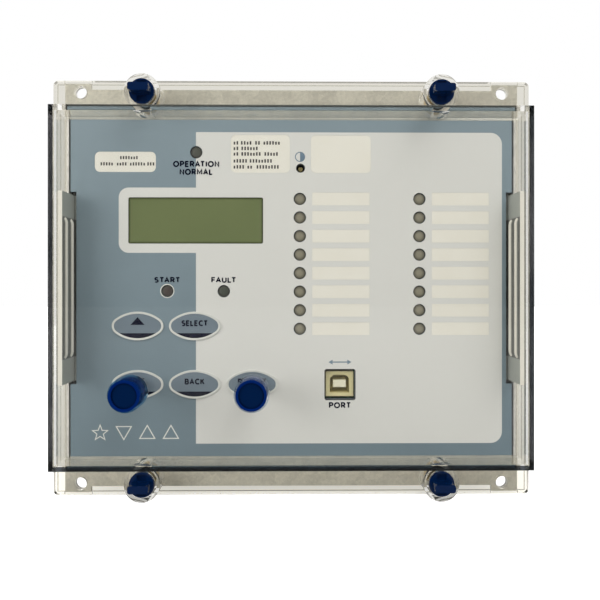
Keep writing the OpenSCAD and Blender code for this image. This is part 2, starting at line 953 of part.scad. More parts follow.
// One lamp with a low dome in front, standing on the front board
module lamp() {
  intersection() {
    bar_y(0, 0, lamp_r, y_lay, board_y);
    translate([0, y_lay + 0.2 + 6, 0])
      sphere(6);
  }
  bar_y(0, 0, lamp_r, y_lay + 3, board_y);
  bar_y(0, 0, lamp_r + 0.4, board_y - 1.5, board_y);
}

module lamps_status() {
  color([0.45, 0.42, 0.38])
    for (p = status_at)
      translate([p[0], 0, p[1]])
        lamp();
}

module lamps_left() {
  color([0.45, 0.42, 0.38])
    at_lamps(lamp_x1)
      lamp();
}

module lamps_right() {
  color([0.45, 0.42, 0.38])
    at_lamps(lamp_x2)
      lamp();
}

module label_cards() {
  color([0.9, 0.88, 0.8])
    for (x = [lamp_x1, lamp_x2])
      span([x + label_dx - card_w / 2, y_fas, card_lo],
        [x + label_dx + card_w / 2, y_fas + card_t, card_hi]);
}

module name_label() {
  color([0.9, 0.88, 0.8])
    span([name_x - name_w / 2 - 1, y_fas, name_z - name_h / 2 - 1],
      [name_x + name_w / 2 + 1, y_fas + card_t, name_z + name_h / 2 + 1]);
}

module ratings_label() {
  color([0.9, 0.88, 0.8])
    span([rate_x - rate_w / 2 - 1, y_fas, rate_z - rate_h / 2 - 1],
      [rate_x + rate_w / 2 + 1, y_fas + card_t, rate_z + rate_h / 2 + 1]);
}

module front_board() {
  color([0.1, 0.35, 0.2])
    difference() {
      span([-front_board_w / 2, board_y, -front_board_h / 2],
        [front_board_w / 2, board_y + board_t, front_board_h / 2]);
      span([usb_x - usb_w / 2 - 0.1, board_y - 1, usb_z - usb_h / 2 - 0.1],
        [usb_x + usb_w / 2 + 0.1, board_y + board_t + 1, usb_z + usb_h / 2 + 0.1]);
    }
}

module key_switches() {
  color([0.12, 0.12, 0.13])
    for (p = key_at)
      translate([p[0], 0, p[1]]) {
        span([-switch_w / 2, switch_front + plunger_l, -switch_w / 2],
          [switch_w / 2, board_y, switch_w / 2]);
        bar_y(0, 0, plunger_r, switch_front, switch_front + plunger_l + eps);
      }
}

module trimmer_body() {
  color([0.15, 0.3, 0.6])
    difference() {
      span([trim_x - 3.3, y_side + 0.6, trim_z - 3.3], [trim_x + 3.3, board_y, trim_z + 3.3]);
      bar_y(trim_x, trim_z, trim_r + 0.06, y_side, board_y - 1.5);
    }
}

module trimmer_screw() {
  color([0.75, 0.6, 0.3])
    difference() {
      bar_y(trim_x, trim_z, trim_r, y_plate - 0.6, board_y - 1.6);
      span([trim_x - 0.25, y_plate - 1.6, trim_z - 3], [trim_x + 0.25, y_plate + 0.3, trim_z + 3]);
    }
}

// Socket outline with its two cut corners
module socket_2d(w, h, c) {
  polygon([[-w / 2, -h / 2], [w / 2, -h / 2], [w / 2, h / 2 - c],
    [w / 2 - c, h / 2], [c - w / 2, h / 2], [-w / 2, h / 2 - c]]);
}

module usb_shell() {
  color([0.8, 0.78, 0.72])
    translate([usb_x, 0, usb_z])
      difference() {
        span([-usb_w / 2, usb_y, -usb_h / 2], [usb_w / 2, usb_y + usb_l, usb_h / 2]);
        push_y(usb_y - 1, usb_y + usb_l - 3)
          socket_2d(usb_cav_w, usb_cav_h, 1.6);
      }
}

module usb_tongue() {
  color([0.88, 0.86, 0.78])
    translate([usb_x, 0, usb_z])
      span([-2.8, usb_y + 1, -1.6], [2.8, usb_y + usb_l - 3, 1.6]);
}

module board_headers() {
  color([0.14, 0.14, 0.15])
    at_blocks()
      difference() {
        span([-3.5, board_y + board_t, -header_h / 2], [3.5, header_end, header_h / 2]);
        span([-slot_w / 2, board_start, -header_h / 2 - 1], [slot_w / 2, header_end + 1, header_h / 2 + 1]);
      }
}

// One upright board between its header and its plug
module upright_board() {
  span([-board_t / 2, board_start, -board_h / 2], [board_t / 2, plug_front + plug_seat, board_h / 2]);
}

module processor_board() {
  color([0.1, 0.35, 0.2])
    translate([-block_pitch, 0, 0])
      upright_board();
}

module analogue_board() {
  color([0.1, 0.35, 0.2])
    upright_board();
}

module power_board() {
  color([0.1, 0.35, 0.2])
    translate([block_pitch, 0, 0])
      upright_board();
}

module board_plugs() {
  color([0.12, 0.25, 0.14])
    at_blocks()
      difference() {
        union() {
          span([-plug_w / 2, plug_front, -plug_h / 2], [plug_w / 2, frame_y, plug_h / 2]);
          span([-plug_nose_w / 2, frame_y - 1, -plug_nose_h / 2],
            [plug_nose_w / 2, side_end + plug_nose_l, plug_nose_h / 2]);
        }
        span([-slot_w / 2, plug_front - 1, -plug_h / 2 - 1],
          [slot_w / 2, plug_front + plug_seat, plug_h / 2 + 1]);
      }
}

// A ring core on its base, standing on the right face of a board
module ring_core() {
  span([0, -core_base / 2, -core_base / 2], [core_base_t, core_base / 2, core_base / 2]);
  translate([core_base_t, 0, 0])
    rotate([0, 90, 0])
      difference() {
        cylinder(r = core_r, h = core_l);
        translate([0, 0, -1])
          cylinder(r = core_hole_r, h = core_l + 2);
      }
}

module current_transformers() {
  color([0.75, 0.55, 0.2])
    for (i = [0 : 1])
      for (j = [-1 : 1])
        translate([board_t / 2, parts_y + core_base / 4 + i * core_pitch_y, j * core_pitch_z])
          ring_core();
}

module output_relays() {
  color([0.85, 0.85, 0.82])
    for (i = [0 : 2])
      for (j = [-2 : 2])
        translate([board_t / 2 - block_pitch, parts_y + i * relay_pitch_y, j * relay_pitch_z])
          span([0, -relay_l / 2, -relay_h / 2], [relay_w, relay_l / 2, relay_h / 2]);
}

module supply_transformer() {
  color([0.35, 0.33, 0.3])
    translate([block_pitch - board_t / 2, parts_y + 2 * can_pitch, supply_z])
      union() {
        span([-coil_w, -coil_l / 2, -coil_h / 2], [0, coil_l / 2, coil_h / 2]);
        span([-(coil_w + yoke_w) / 2, -yoke_l / 2, -yoke_h / 2],
          [-(coil_w - yoke_w) / 2, yoke_l / 2, yoke_h / 2]);
      }
}

module capacitors() {
  color([0.12, 0.14, 0.3])
    for (i = [0 : 2])
      translate([block_pitch - board_t / 2, parts_y + i * can_pitch, can_z])
        rotate([0, -90, 0])
          union() {
            cylinder(r = can_r, h = can_l);
            cylinder(r = can_foot_r, h = can_foot_t);
          }
}

// Keys

// One oval key with its retaining flange and its post
module key_cap() {
  push_y(key_front, key_flange_y + key_flange_t)
    oval(key_a, key_b, key_r);
  push_y(key_flange_y, key_flange_y + key_flange_t)
    oval(key_a + key_lip, key_b + key_lip, key_r + key_lip);
  bar_y(0, 0, 2, key_flange_y, key_end);
}

module key_up() {
  color([0.45, 0.5, 0.54])
    translate([key_x1, 0, key_z1])
      key_cap();
}

module key_enter() {
  color([0.45, 0.5, 0.54])
    translate([key_x2, 0, key_z1])
      key_cap();
}

module key_down() {
  color([0.45, 0.5, 0.54])
    translate([key_x1, 0, key_z2])
      key_cap();
}

module key_cancel() {
  color([0.45, 0.5, 0.54])
    translate([key_x2, 0, key_z2])
      key_cap();
}

module key_right() {
  color([0.45, 0.5, 0.54])
    translate([key_x3, 0, key_z2])
      key_cap();
}

// Cover

module cover() {
  color([0.85, 0.88, 0.9, 0.3])
    difference() {
      union() {
        push_y(rim_front, rim_y)
          round_rect(rim_w, rim_h, rim_r);
        push_y(rim_y - 0.5, -0.3)
          difference() {
            round_rect(rim_w, rim_h, rim_r);
            square([rim_w - 2 * lip_t, rim_h - 2 * lip_t], center = true);
            for (s = [-1, 1])
              translate([s * (case_w / 2 - tab_w / 2), 0])
                square([tab_w + 0.6, rim_h + 2], center = true);
          }
        span([-cover_w / 2, cover_y, -cover_h / 2], [cover_w / 2, rim_y, cover_h / 2]);
        both_x()
          both_z()
            bar_y(fast_x, fast_z, boss_r, -boss_front, rim_y);
        for (x = [button_x1, button_x2])
          bar_y(x, button_z, collar_in + collar_t, -collar_front, cover_y + 0.5);
      }
      span([-cover_w / 2 + cover_t, plate_back, -cover_h / 2 + cover_t],
        [cover_w / 2 - cover_t, rim_y + 1, cover_h / 2 - cover_t]);
      both_x()
        both_z() {
          bar_y(fast_x, fast_z, boss_in, floor_y + floor_t, rim_y + 1);
          bar_y(fast_x, fast_z, knob_r + 0.3, -boss_front - 1, floor_y);
          bar_y(fast_x, fast_z, shank_r + shank_gap, -boss_front - 1, rim_y);
          bar_y(fix_x / 2, fix_z / 2, fix_d / 2 + fix_room, rim_front - 1, 0);
        }
      for (x = [button_x1, button_x2]) {
        bar_y(x, button_z, collar_in, -collar_front - 1, cover_y);
        bar_y(x, button_z, stem_r + stem_gap, cover_y - 1, plate_back + 1);
      }
    }
}

// One quarter-turn fastener about its own axis, s turns its pocket towards the cover
module fastener(x, z) {
  translate([x, 0, z])
    union() {
      difference() {
        bar_y(0, 0, knob_r, disc_y, floor_y);
        for (s = [-1, 1])
          span([-1.9, disc_y - 1, min(s * 1.9, s * 4.3)], [1.9, disc_y + 1.3, max(s * 1.9, s * 4.3)]);
      }
      push_y(-bar_front, disc_y + eps)
        round_rect(bar_l, bar_w, bar_r);
      bar_y(0, 0, shank_r, floor_y - 0.2, rim_y - 0.2);
      bar_y(0, 0, shank_r + 0.8, floor_y + floor_t + 0.1, floor_y + floor_t + 1.1);
    }
}

module fastener_tl() {
  color([0.03, 0.12, 0.36])
    fastener(-fast_x, fast_z);
}

module fastener_tr() {
  color([0.03, 0.12, 0.36])
    fastener(fast_x, fast_z);
}

module fastener_bl() {
  color([0.03, 0.12, 0.36])
    fastener(-fast_x, -fast_z);
}

module fastener_br() {
  color([0.03, 0.12, 0.36])
    fastener(fast_x, -fast_z);
}

// One push-button: a dished hollow cap on a stem
module button(x) {
  translate([x, 0, button_z])
    difference() {
      union() {
        bar_y(0, 0, cap_r, -cap_front, cap_end);
        bar_y(0, 0, stem_r, -cap_front + 2, stem_tip);
      }
      bar_y(0, 0, cap_r - cap_rim, -cap_front - 1, -cap_front + face_in);
      difference() {
        bar_y(0, 0, cap_r - cap_rim, -cap_front - 1, -cap_front + cap_groove);
        bar_y(0, 0, cap_r - cap_rim - groove_w, -cap_front - 2, -cap_front + cap_groove + 1);
      }
      difference() {
        bar_y(0, 0, cap_bore_r, cap_wall_y, cap_end + 1);
        bar_y(0, 0, stem_r, cap_wall_y - 1, cap_end + 2);
      }
      difference() {
        bar_y(0, 0, stem_r + 1, plate_back + 0.1, plate_back + 0.9);
        bar_y(0, 0, stem_r - 0.6, plate_back, plate_back + 1);
      }
    }
}

module button_left() {
  color([0.02, 0.14, 0.45])
    button(button_x1);
}

module button_right() {
  color([0.02, 0.14, 0.45])
    button(button_x2);
}

// One spring clip in the groove of a stem
module clip(x) {
  translate([x, 0, button_z])
    difference() {
      bar_y(0, 0, stem_r + 1.8, plate_back + 0.1, plate_back + 0.9);
      bar_y(0, 0, stem_r - 0.6, plate_back, plate_back + 1);
      span([-1.4, plate_back, -6], [1.4, plate_back + 1, 0]);
    }
}

module button_clip_left() {
  color([0.7, 0.71, 0.73])
    clip(button_x1);
}

module button_clip_right() {
  color([0.7, 0.71, 0.73])
    clip(button_x2);
}

// A coil of round wire along Y, built ring by ring
module coil(x) {
  turns = 5;
  per = 14;
  side = 6;
  n = turns * per;
  y0 = cap_wall_y + wire_r;
  y1 = cover_y - wire_r;
  pts = [for (i = [0 : n])
    for (j = [0 : side - 1])
      let (a = 360 * i / per, b = 360 * j / side, r = coil_r + wire_r * cos(b))
        [x + r * cos(a), y0 + (y1 - y0) * i / n + wire_r * sin(b), button_z + r * sin(a)]];
  walls = [for (i = [0 : n - 1])
    for (j = [0 : side - 1])
      [i * side + j, i * side + (j + 1) % side, (i + 1) * side + (j + 1) % side, (i + 1) * side + j]];
  first = [for (j = [0 : side - 1]) side - 1 - j];
  last = [for (j = [0 : side - 1]) n * side + j];
  polyhedron(pts, concat(walls, [first, last]));
}

module button_spring_left() {
  color([0.72, 0.73, 0.75])
    coil(button_x1);
}

module button_spring_right() {
  color([0.72, 0.73, 0.75])
    coil(button_x2);
}

case_shell();
rear_plate();
terminal_block_left();
terminal_block_middle();
terminal_block_right();
terminal_screws();
terminal_plates();
block_screws();
earth_stud();
earth_nut();
chassis_guides();
cover_bushes();
front_plate();
side_plate_left();
side_plate_right();
rear_frame();
frame_screws();
fascia();
overlay();
handle_left();
handle_right();
lcd_frame();
lcd_glass();
lamps_status();
lamps_left();
lamps_right();
label_cards();
name_label();
ratings_label();
front_board();
key_switches();
trimmer_body();
trimmer_screw();
usb_shell();
usb_tongue();
board_headers();
processor_board();
analogue_board();
power_board();
board_plugs();
current_transformers();
output_relays();
supply_transformer();
capacitors();
key_up();
key_enter();
key_down();
key_cancel();
key_right();
cover();
fastener_tl();
fastener_tr();
fastener_bl();
fastener_br();
button_left();
button_right();
button_clip_left();
button_clip_right();
button_spring_left();
button_spring_right();
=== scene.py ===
"""Looks of a flush-mounted protection relay: finishes, printed legends, floor, light and camera.

Sizes are in millimetres unless a name says otherwise. X is to the right, Z is up and the front looks
towards -Y, as in the frame that everything is placed by.
"""

import math

import bpy
import numpy as np
from mathutils import Matrix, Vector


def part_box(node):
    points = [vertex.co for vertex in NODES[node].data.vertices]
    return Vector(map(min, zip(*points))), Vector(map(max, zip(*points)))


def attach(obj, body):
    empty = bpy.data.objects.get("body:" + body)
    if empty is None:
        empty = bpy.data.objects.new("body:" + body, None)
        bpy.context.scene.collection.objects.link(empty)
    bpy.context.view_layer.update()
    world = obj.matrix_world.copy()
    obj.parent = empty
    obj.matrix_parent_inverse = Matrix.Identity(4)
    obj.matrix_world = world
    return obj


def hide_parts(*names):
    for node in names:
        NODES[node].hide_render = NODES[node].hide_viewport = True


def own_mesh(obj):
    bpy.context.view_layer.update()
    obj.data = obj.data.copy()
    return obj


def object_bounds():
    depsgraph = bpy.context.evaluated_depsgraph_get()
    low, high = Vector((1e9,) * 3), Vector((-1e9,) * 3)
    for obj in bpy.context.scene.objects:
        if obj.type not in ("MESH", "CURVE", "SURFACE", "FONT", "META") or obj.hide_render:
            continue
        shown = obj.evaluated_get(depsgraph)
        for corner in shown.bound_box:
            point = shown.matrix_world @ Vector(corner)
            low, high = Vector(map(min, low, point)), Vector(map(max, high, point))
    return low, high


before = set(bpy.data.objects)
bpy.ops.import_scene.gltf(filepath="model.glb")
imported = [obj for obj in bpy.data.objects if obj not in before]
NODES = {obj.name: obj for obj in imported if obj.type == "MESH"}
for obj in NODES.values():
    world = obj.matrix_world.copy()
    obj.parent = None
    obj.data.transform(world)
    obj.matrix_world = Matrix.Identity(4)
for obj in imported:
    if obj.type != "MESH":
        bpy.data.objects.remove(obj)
cad_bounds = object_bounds()

MM = 0.001


def box_mm(node):
    """Lowest and highest corner of a node at rest, in millimetres."""
    low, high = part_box(node)
    return np.array(low) / MM, np.array(high) / MM


def middle_mm(node):
    """Middle of a node's box, in millimetres."""
    low, high = box_mm(node)
    return (low + high) / 2


def linear(red, green, blue):
    """A colour given as the eye sees it, 0 to 255, turned into the light that a shader works with."""
    seen = np.array([red, green, blue]) / 255.0
    light = np.where(seen <= 0.04045, seen / 12.92, ((seen + 0.055) / 1.055) ** 2.4)
    return (*light.tolist(), 1.0)


# Shader maths


class Field:
    """A number that changes over a surface: a shader socket that Python's operators work on."""

    def __init__(self, finish, socket):
        self.finish = finish
        self.socket = socket

    def math(self, operation, first, *others):
        inputs = dict(enumerate((first, *others)))
        made = self.finish.node("ShaderNodeMath", {"operation": operation}, inputs)
        return Field(self.finish, made.outputs[0])

    def __add__(self, other):
        return self.math("ADD", self, other)

    def __sub__(self, other):
        return self.math("SUBTRACT", self, other)

    def __rsub__(self, other):
        return self.math("SUBTRACT", other, self)

    def __mul__(self, other):
        return self.math("MULTIPLY", self, other)

    def __truediv__(self, other):
        return self.math("DIVIDE", self, other)

    def __abs__(self):
        return self.math("ABSOLUTE", self)

    __radd__ = __add__
    __rmul__ = __mul__

    def least(self, other):
        return self.math("MINIMUM", self, other)

    def most(self, other):
        return self.math("MAXIMUM", self, other)

    def root(self):
        return self.math("SQRT", self)

    def sine(self):
        return self.math("SINE", self)

    def nearest(self):
        return self.math("ROUND", self)

    def above(self, other):
        return self.math("GREATER_THAN", self, other)

    def unit(self):
        """The number held between 0 and 1."""
        return self.most(0.0).least(1.0)


class Finish:
    """One material with a main shader, and the few ways that this script adds nodes to it."""

    def __init__(self, name, colour, roughness=0.5, metallic=0.0, **constants):
        self.material = bpy.data.materials.new(name)
        self.material.use_nodes = True
        self.tree = self.material.node_tree
        self.shader = self.tree.nodes["Principled BSDF"]
        self.feed("Base Color", colour)
        self.feed("Roughness", roughness)
        self.feed("Metallic", metallic)
        for socket, value in constants.items():
            self.feed(socket.replace("_", " "), value)

    @classmethod
    def of_tree(cls, tree, main):
        """The same ways of adding nodes on a tree that is there already, with its main shader's name."""
        finish = cls.__new__(cls)
        finish.tree, finish.shader = tree, tree.nodes[main]
        return finish

    def node(self, kind, settings=None, inputs=None):
        """Adds a node of that kind, with its settings first and then its sockets' values or links."""
        made = self.tree.nodes.new(kind)
        for name, value in (settings or {}).items():
            setattr(made, name, value)
        for key, value in (inputs or {}).items():
            self.join(made.inputs[key], value)
        return made

    def join(self, socket, value):
        """Links a socket to a field or another socket, or gives it a constant."""
        if isinstance(value, Field):
            value = value.socket
        if isinstance(value, bpy.types.NodeSocket):
            self.tree.links.new(value, socket)
        else:
            socket.default_value = value

    def feed(self, socket, value):
        """Joins a value to a socket of the main shader."""
        self.join(self.shader.inputs[socket], value)

    def place(self):
        """X, Y and Z on the object, in millimetres."""
        spot = self.node("ShaderNodeTexCoord").outputs["Object"]
        split = self.node("ShaderNodeSeparateXYZ", inputs={0: spot})
        return [Field(self, split.outputs[i]) * (1 / MM) for i in range(3)]

    def noise(self, size_mm, detail=2.0, stretch=(1, 1, 1)):
        """Cloudy noise from 0 to 1 whose clouds are about size_mm across, stretched along an axis."""
        spot = self.node("ShaderNodeTexCoord").outputs["Object"]
        scale = tuple(1 / s for s in stretch)
        moved = self.node("ShaderNodeMapping", inputs={"Vector": spot, "Scale": scale})
        inputs = {"Vector": moved.outputs[0], "Scale": 1 / (size_mm * MM), "Detail": detail}
        return Field(self, self.node("ShaderNodeTexNoise", inputs=inputs).outputs[0])

    def mix(self, share, low, high):
        """Colour low where share is 0 and colour high where it is 1."""
        made = self.node("ShaderNodeMix", {"data_type": "RGBA"})
        self.join(made.inputs[0], share)
        self.join(made.inputs[6], low)
        self.join(made.inputs[7], high)
        return made.outputs[2]

    def blend(self, share, low, high):
        """Shader low where share is 0 and shader high where it is 1."""
        return self.node("ShaderNodeMixShader", inputs={0: share, 1: low, 2: high}).outputs[0]

    def show(self, surface, output="Material Output"):
        """Puts a shader on the surface in the main shader's place."""
        self.join(self.tree.nodes[output].inputs["Surface"], surface)

    def bump(self, height, distance_mm, strength=1.0):
        """Tilts the surface by a height field."""
        inputs = {"Height": height, "Distance": distance_mm * MM, "Strength": strength}
        self.feed("Normal", self.node("ShaderNodeBump", inputs=inputs).outputs[0])


def circle_edge(x, z, at, radius):
    """Distance outside a circle, negative inside."""
    return ((x - at[0]) * (x - at[0]) + (z - at[1]) * (z - at[1])).root() - radius


def box_edge(x, z, left, right, low, high, radius=0.0):
    """Distance outside a rectangle with round corners, negative inside."""
    over_x = abs(x - (left + right) / 2) - ((right - left) / 2 - radius)
    over_z = abs(z - (low + high) / 2) - ((high - low) / 2 - radius)
    corner = (over_x.most(0.0) * over_x.most(0.0) + over_z.most(0.0) * over_z.most(0.0)).root()
    return corner + over_x.most(over_z).least(0.0) - radius


def oval_edge(x, z, at, half_w, half_h, end_r):
    """Distance outside an oval of four arcs, negative inside: end circles and two flat arcs."""
    reach = half_w - end_r
    drop = (reach**2 - (half_h - end_r) ** 2) / (2 * (half_h - end_r))
    across = abs(x - at[0])
    up = abs(z - at[1])
    end = ((across - reach) * (across - reach) + up * up).root() - end_r
    flat = (across * across + (up + drop) * (up + drop)).root() - (drop + half_h)
    at_end = ((across - reach) * drop - up * reach).above(0.0)
    return end * at_end + flat * (1 - at_end)


def inside(edge, soft=0.06):
    """1 inside an edge and 0 outside, over a short soft step."""
    return (0.5 - edge / (2 * soft)).unit()


# Colours, as the eye sees them

BLUE_GREY = linear(116, 131, 138)
# the film's blue grey, low and high, for a painted reflection that lightens it towards the top
BLUE_PAINTED_DIM = linear(115, 134, 144)
BLUE_PAINTED_GLARE = linear(138, 155, 164)
PALE_GREY = linear(224, 225, 221)
INK = linear(4, 8, 34)
PRINT_WHITE = linear(232, 234, 228)
CREAM = linear(239, 237, 226)
NAVY = linear(0, 27, 66)
# painted sheen on the buttons' rims
RIM_SHEEN_BLUE = linear(0, 33, 98)
ZINC = linear(176, 170, 152)
OLIVE = linear(104, 116, 74)
LENS = linear(142, 138, 120)
# painted highlight colour of the handles' crests and front edges
LIT_EDGE_HIGHLIGHT = linear(238, 235, 224)

# Colours of metals and clear plastic, as light

PLATED = (0.68, 0.69, 0.7, 1)
BRASS = (0.66, 0.5, 0.24, 1)
TRIMMER_BRASS = (0.78, 0.66, 0.32, 1)
CLEAR = (0.965, 0.96, 0.945, 1)
CLEAR_FLANGE = (0.79, 0.77, 0.7, 1)
CLEAR_THROUGH = (0.97, 0.965, 0.95, 1)
# painted reflection on the walls' ends seen through the front: pale at the top, near black low and at the
# sides
WALL_END_TOP = (0.9, 0.9, 0.92, 1)
WALL_END_LOW = (0.008, 0.01, 0.014, 1)
WALL_END_SIDES = (0.0012, 0.0015, 0.002, 1), (0.01, 0.01, 0.012, 1)
# collar tints: their buttons' blue seen through, the right one paler as painted light
COLLAR_TINTS = (0.3, 0.55, 0.8, 1), (0.72, 0.78, 0.88, 1)

# Print on the overlay film

PANEL_LEFT, PANEL_RIGHT = -41.5, 91.2
PANEL_LOW, PANEL_HIGH = -67.3, 67.4
PANEL_R = 5.0
SURROUND_LEFT, SURROUND_LOW, SURROUND_HIGH = -74.8, 15.2, 43.4
SURROUND_R = 4.3
# height over which the painted reflection on the film fades
GLARE_FADE_H = 140.0
LAP = 20.0
STATUS = {"healthy": (-41.4, 58.7), "start": (-53.9, -1.3), "trip": (-29.5, -1.4)}
START_RING_R = 3.05
CONTRAST, ICON_R, ICON_LINE = (3.5, 56.8), 2.2, 0.4
TRIMMER, TRIMMER_HOLE_R, TRIMMER_FACE_R = (3.7, 51.9), 1.95, 0.95
SOCKET, SOCKET_HALF, SOCKET_R = (20.8, -41.85), 6.75, 1.0

# Keys, lamps and display

KEY_HALF_W, KEY_HALF_H, KEY_END_R = 10.7, 5.8, 3.4
KEY_RING = 0.52
KEY_CHORD = 3.1
LAMP_TOP, LAMP_PITCH, LAMP_ROWS, LENS_R = 38.6, 8.04, 8, 1.75
DISPLAY_BORDER, DISPLAY_R, DISPLAY_SHADE = 1.5, 0.8, 1.1

# Handles, cover and its buttons

HANDLE_IN, RIDGE_HALF = 94.2, 29.6
RIDGE_MIDDLE, RIDGE_PITCH, CREST_HALF = 8.55, 7.7, 1.7
COVER_HALF_W, COVER_HALF_H, COVER_WALL, COVER_Y = 99.0, 74.6, 2.0, -19.9
FLANGE_Y = -4.0
FLANGE_BACK = 2.5
CAP_FACE_R = 5.05
COLLAR_R, COLLAR_CLEAR = 9.5, 0.8
SPRING_TURNS, SPRING_STEPS, SPRING_SIDES, SPRING_WIRE_R = 5, 24, 8, 0.35

# Cards and labels in the film's windows

FILM_T, CARD_SUNK, WINDOW_GAP = 0.4, 0.06, 0.06
LABEL_FROM_LAMP, LABEL_SIZE, LABEL_R = 17.8, (24.9, 5.5), 0.1
LABEL_COLUMNS = [middle_mm(node)[0] + LABEL_FROM_LAMP for node in ("lamps_left", "lamps_right")]
TOP_WINDOW_AT, TOP_WINDOW_SIZE, TOP_WINDOW_R = (LABEL_COLUMNS[0], 58.0), (26.0, 16.2), 2.0
NAME_AT, NAME_SIZE, NAME_R = (-71.95, 54.5), (26.3, 8.8), 2.2
RATINGS_AT, RATINGS_SIZE, RATINGS_R = (-13.65, 58.1), (25.5, 16.4), 2.0

# Faces that print lies on, and terminal numbers

FACE_Y = box_mm("overlay")[0][1]
KEY_Y = box_mm("key_up")[0][1]
CARD_Y = FACE_Y + CARD_SUNK
PRINT_T = 0.05
TERMINAL_ROWS, ROW_PITCH, NUMBER_X = 14, 8.4, 5.7
NUMBER_W, NUMBER_EXTRA, NUMBER_H = 1.9, 0.2, 3.0

KEYS = ("key_up", "key_enter", "key_down", "key_cancel", "key_right")
FASTENERS = ("fastener_tl", "fastener_tr", "fastener_bl", "fastener_br")
BUTTONS = ("button_left", "button_right")


# Finishes


def zinc_sheet():
    """Zinc coated steel: fine crystals of slightly different grey, a cloudy mottle and faint rolling lines,
    painted lighter on the flange for light lost through the clear cover, and duller behind it as painted
    shade."""
    crystal_mm = 3.2
    finish = Finish("zinc sheet", ZINC, 0.42, 0.45)
    spot = finish.node("ShaderNodeTexCoord").outputs["Object"]
    spread = {"Vector": spot, "Scale": 1 / (crystal_mm * MM), "Randomness": 1.0}
    cells = finish.node("ShaderNodeTexVoronoi", inputs=spread)
    split = finish.node("ShaderNodeSeparateColor", inputs={0: cells.outputs["Color"]})
    crystal = Field(finish, split.outputs[0])
    mottle = ((finish.noise(1.3, 2.0) - 0.5) * 2.5 + 0.5).unit()
    cloud = finish.noise(40.0, 2.0)
    share = (crystal * 0.35 + mottle * 0.4 + cloud * 0.35).unit()
    _, y, _ = finish.place()
    # painted light: the flange's copy is painted lighter to make up for light lost through the tinted clear
    # cover, and the copy behind the flange is painted duller as shade
    flange_lit_zinc = finish.mix(share, linear(204, 203, 197), linear(246, 244, 237))
    dull = finish.mix(share, linear(160, 160, 157), linear(204, 203, 199))
    finish.feed("Base Color", finish.mix(inside(FLANGE_BACK - y, 0.5), flange_lit_zinc, dull))
    finish.feed("Roughness", 0.36 + crystal * 0.1 + mottle * 0.12)
    finish.bump(finish.noise(0.8, 1.0, (1, 1, 30)), 0.006, 0.35)
    return finish


def moulding(name, colour, roughness=0.5, grain=0.02):
    """Moulded plastic with a fine grain."""
    finish = Finish(name, colour, roughness)
    finish.bump(finish.noise(0.5, 1.0), grain, 0.5)
    return finish


def handle_plastic():
    """Withdrawal handles: mid grey, with painted highlights on crests and front edges and painted shade in
    the grooves.
    """
    proud = 0.12
    front_y = box_mm("handle_right")[0][1]
    finish = Finish("handle moulding", linear(140, 143, 138), 0.45, Specular_IOR_Level=0.3)
    x, y, z = finish.place()
    # painted highlight on the ridge crests and front faces, and painted shade on the grip zone between and
    # round the ridges
    crests = inside(abs(abs(y + RIDGE_MIDDLE) - RIDGE_PITCH / 2) - CREST_HALF, 0.35)
    ridges = inside(abs(x) - (HANDLE_IN - proud), 0.05) * crests
    fronts = inside(y - (front_y + 0.25), 0.05)
    groove_shade = inside(abs(z) - RIDGE_HALF, 0.2) * inside(abs(x) - (HANDLE_IN + 0.3), 0.05)
    body = finish.mix(groove_shade, linear(166, 170, 164), linear(106, 108, 104))
    # noise that breaks up the painted highlights
    wear_and_sheen = (finish.noise(3.0, 2.0, (1, 1, 6)) * 0.5 + 0.75).unit()
    finish.feed("Base Color", finish.mix(ridges.most(fronts) * wear_and_sheen, body, LIT_EDGE_HIGHLIGHT))
    finish.bump(finish.noise(0.5, 1.0), 0.02, 0.5)
    return finish


def button_plastic(name, at):
    """Glossy blue cap, with a painted sheen that makes the rim round its dished face a brighter blue."""
    finish = Finish(name, NAVY, 0.2, Specular_IOR_Level=0.03)
    x, _, z = finish.place()
    # painted sheen: the rim round the dished face is painted a brighter blue
    rim = inside(CAP_FACE_R - circle_edge(x, z, (at[0], at[2]), 0.0), 0.1)
    finish.feed("Base Color", finish.mix(rim, NAVY, RIM_SHEEN_BLUE))
    finish.feed("Roughness", 0.16 + finish.noise(1.2) * 0.1)
    return finish


def print_ink(name, colour, wear_and_sheen, specular=0.5):
    """Screen-printed ink: its colour wears a little paler in small clouds."""
    finish = Finish(name, colour, 0.6, Specular_IOR_Level=specular)
    finish.feed("Base Color", finish.mix(finish.noise(0.6, 2.0) * 0.5, colour, wear_and_sheen))
    return finish


def label_card():
    """Cream card: faint paper fibres and a low sheen."""
    finish = Finish("label card", CREAM, 0.6)
    fibres = finish.noise(0.7, 3.0, (3, 1, 1)) * 0.5 + finish.noise(9.0, 1.0) * 0.5
    finish.feed("Base Color", finish.mix(fibres, linear(234, 231, 218), linear(244, 243, 234)))
    finish.feed("Roughness", 0.5 + fibres * 0.2)
    return finish


def bright_metal(name, colour, roughness=0.25):
    """Plated or turned metal."""
    finish = Finish(name, colour, roughness, 1.0)
    finish.feed("Roughness", roughness + finish.noise(1.5) * 0.12)
    return finish


def trimmer_metal():
    """The contrast screw: a brass middle, with its edge painted near black as shade of the hole it sits in.
    """
    finish = Finish("trimmer brass", TRIMMER_BRASS, 0.35, 0.8)
    x, _, z = finish.place()
    # painted shade: outside its middle the screw is painted near black, as the hole's shade
    middle = inside(circle_edge(x, z, TRIMMER, TRIMMER_FACE_R), 0.15)
    finish.feed("Base Color", finish.mix(middle, linear(14, 14, 15), TRIMMER_BRASS))
    return finish


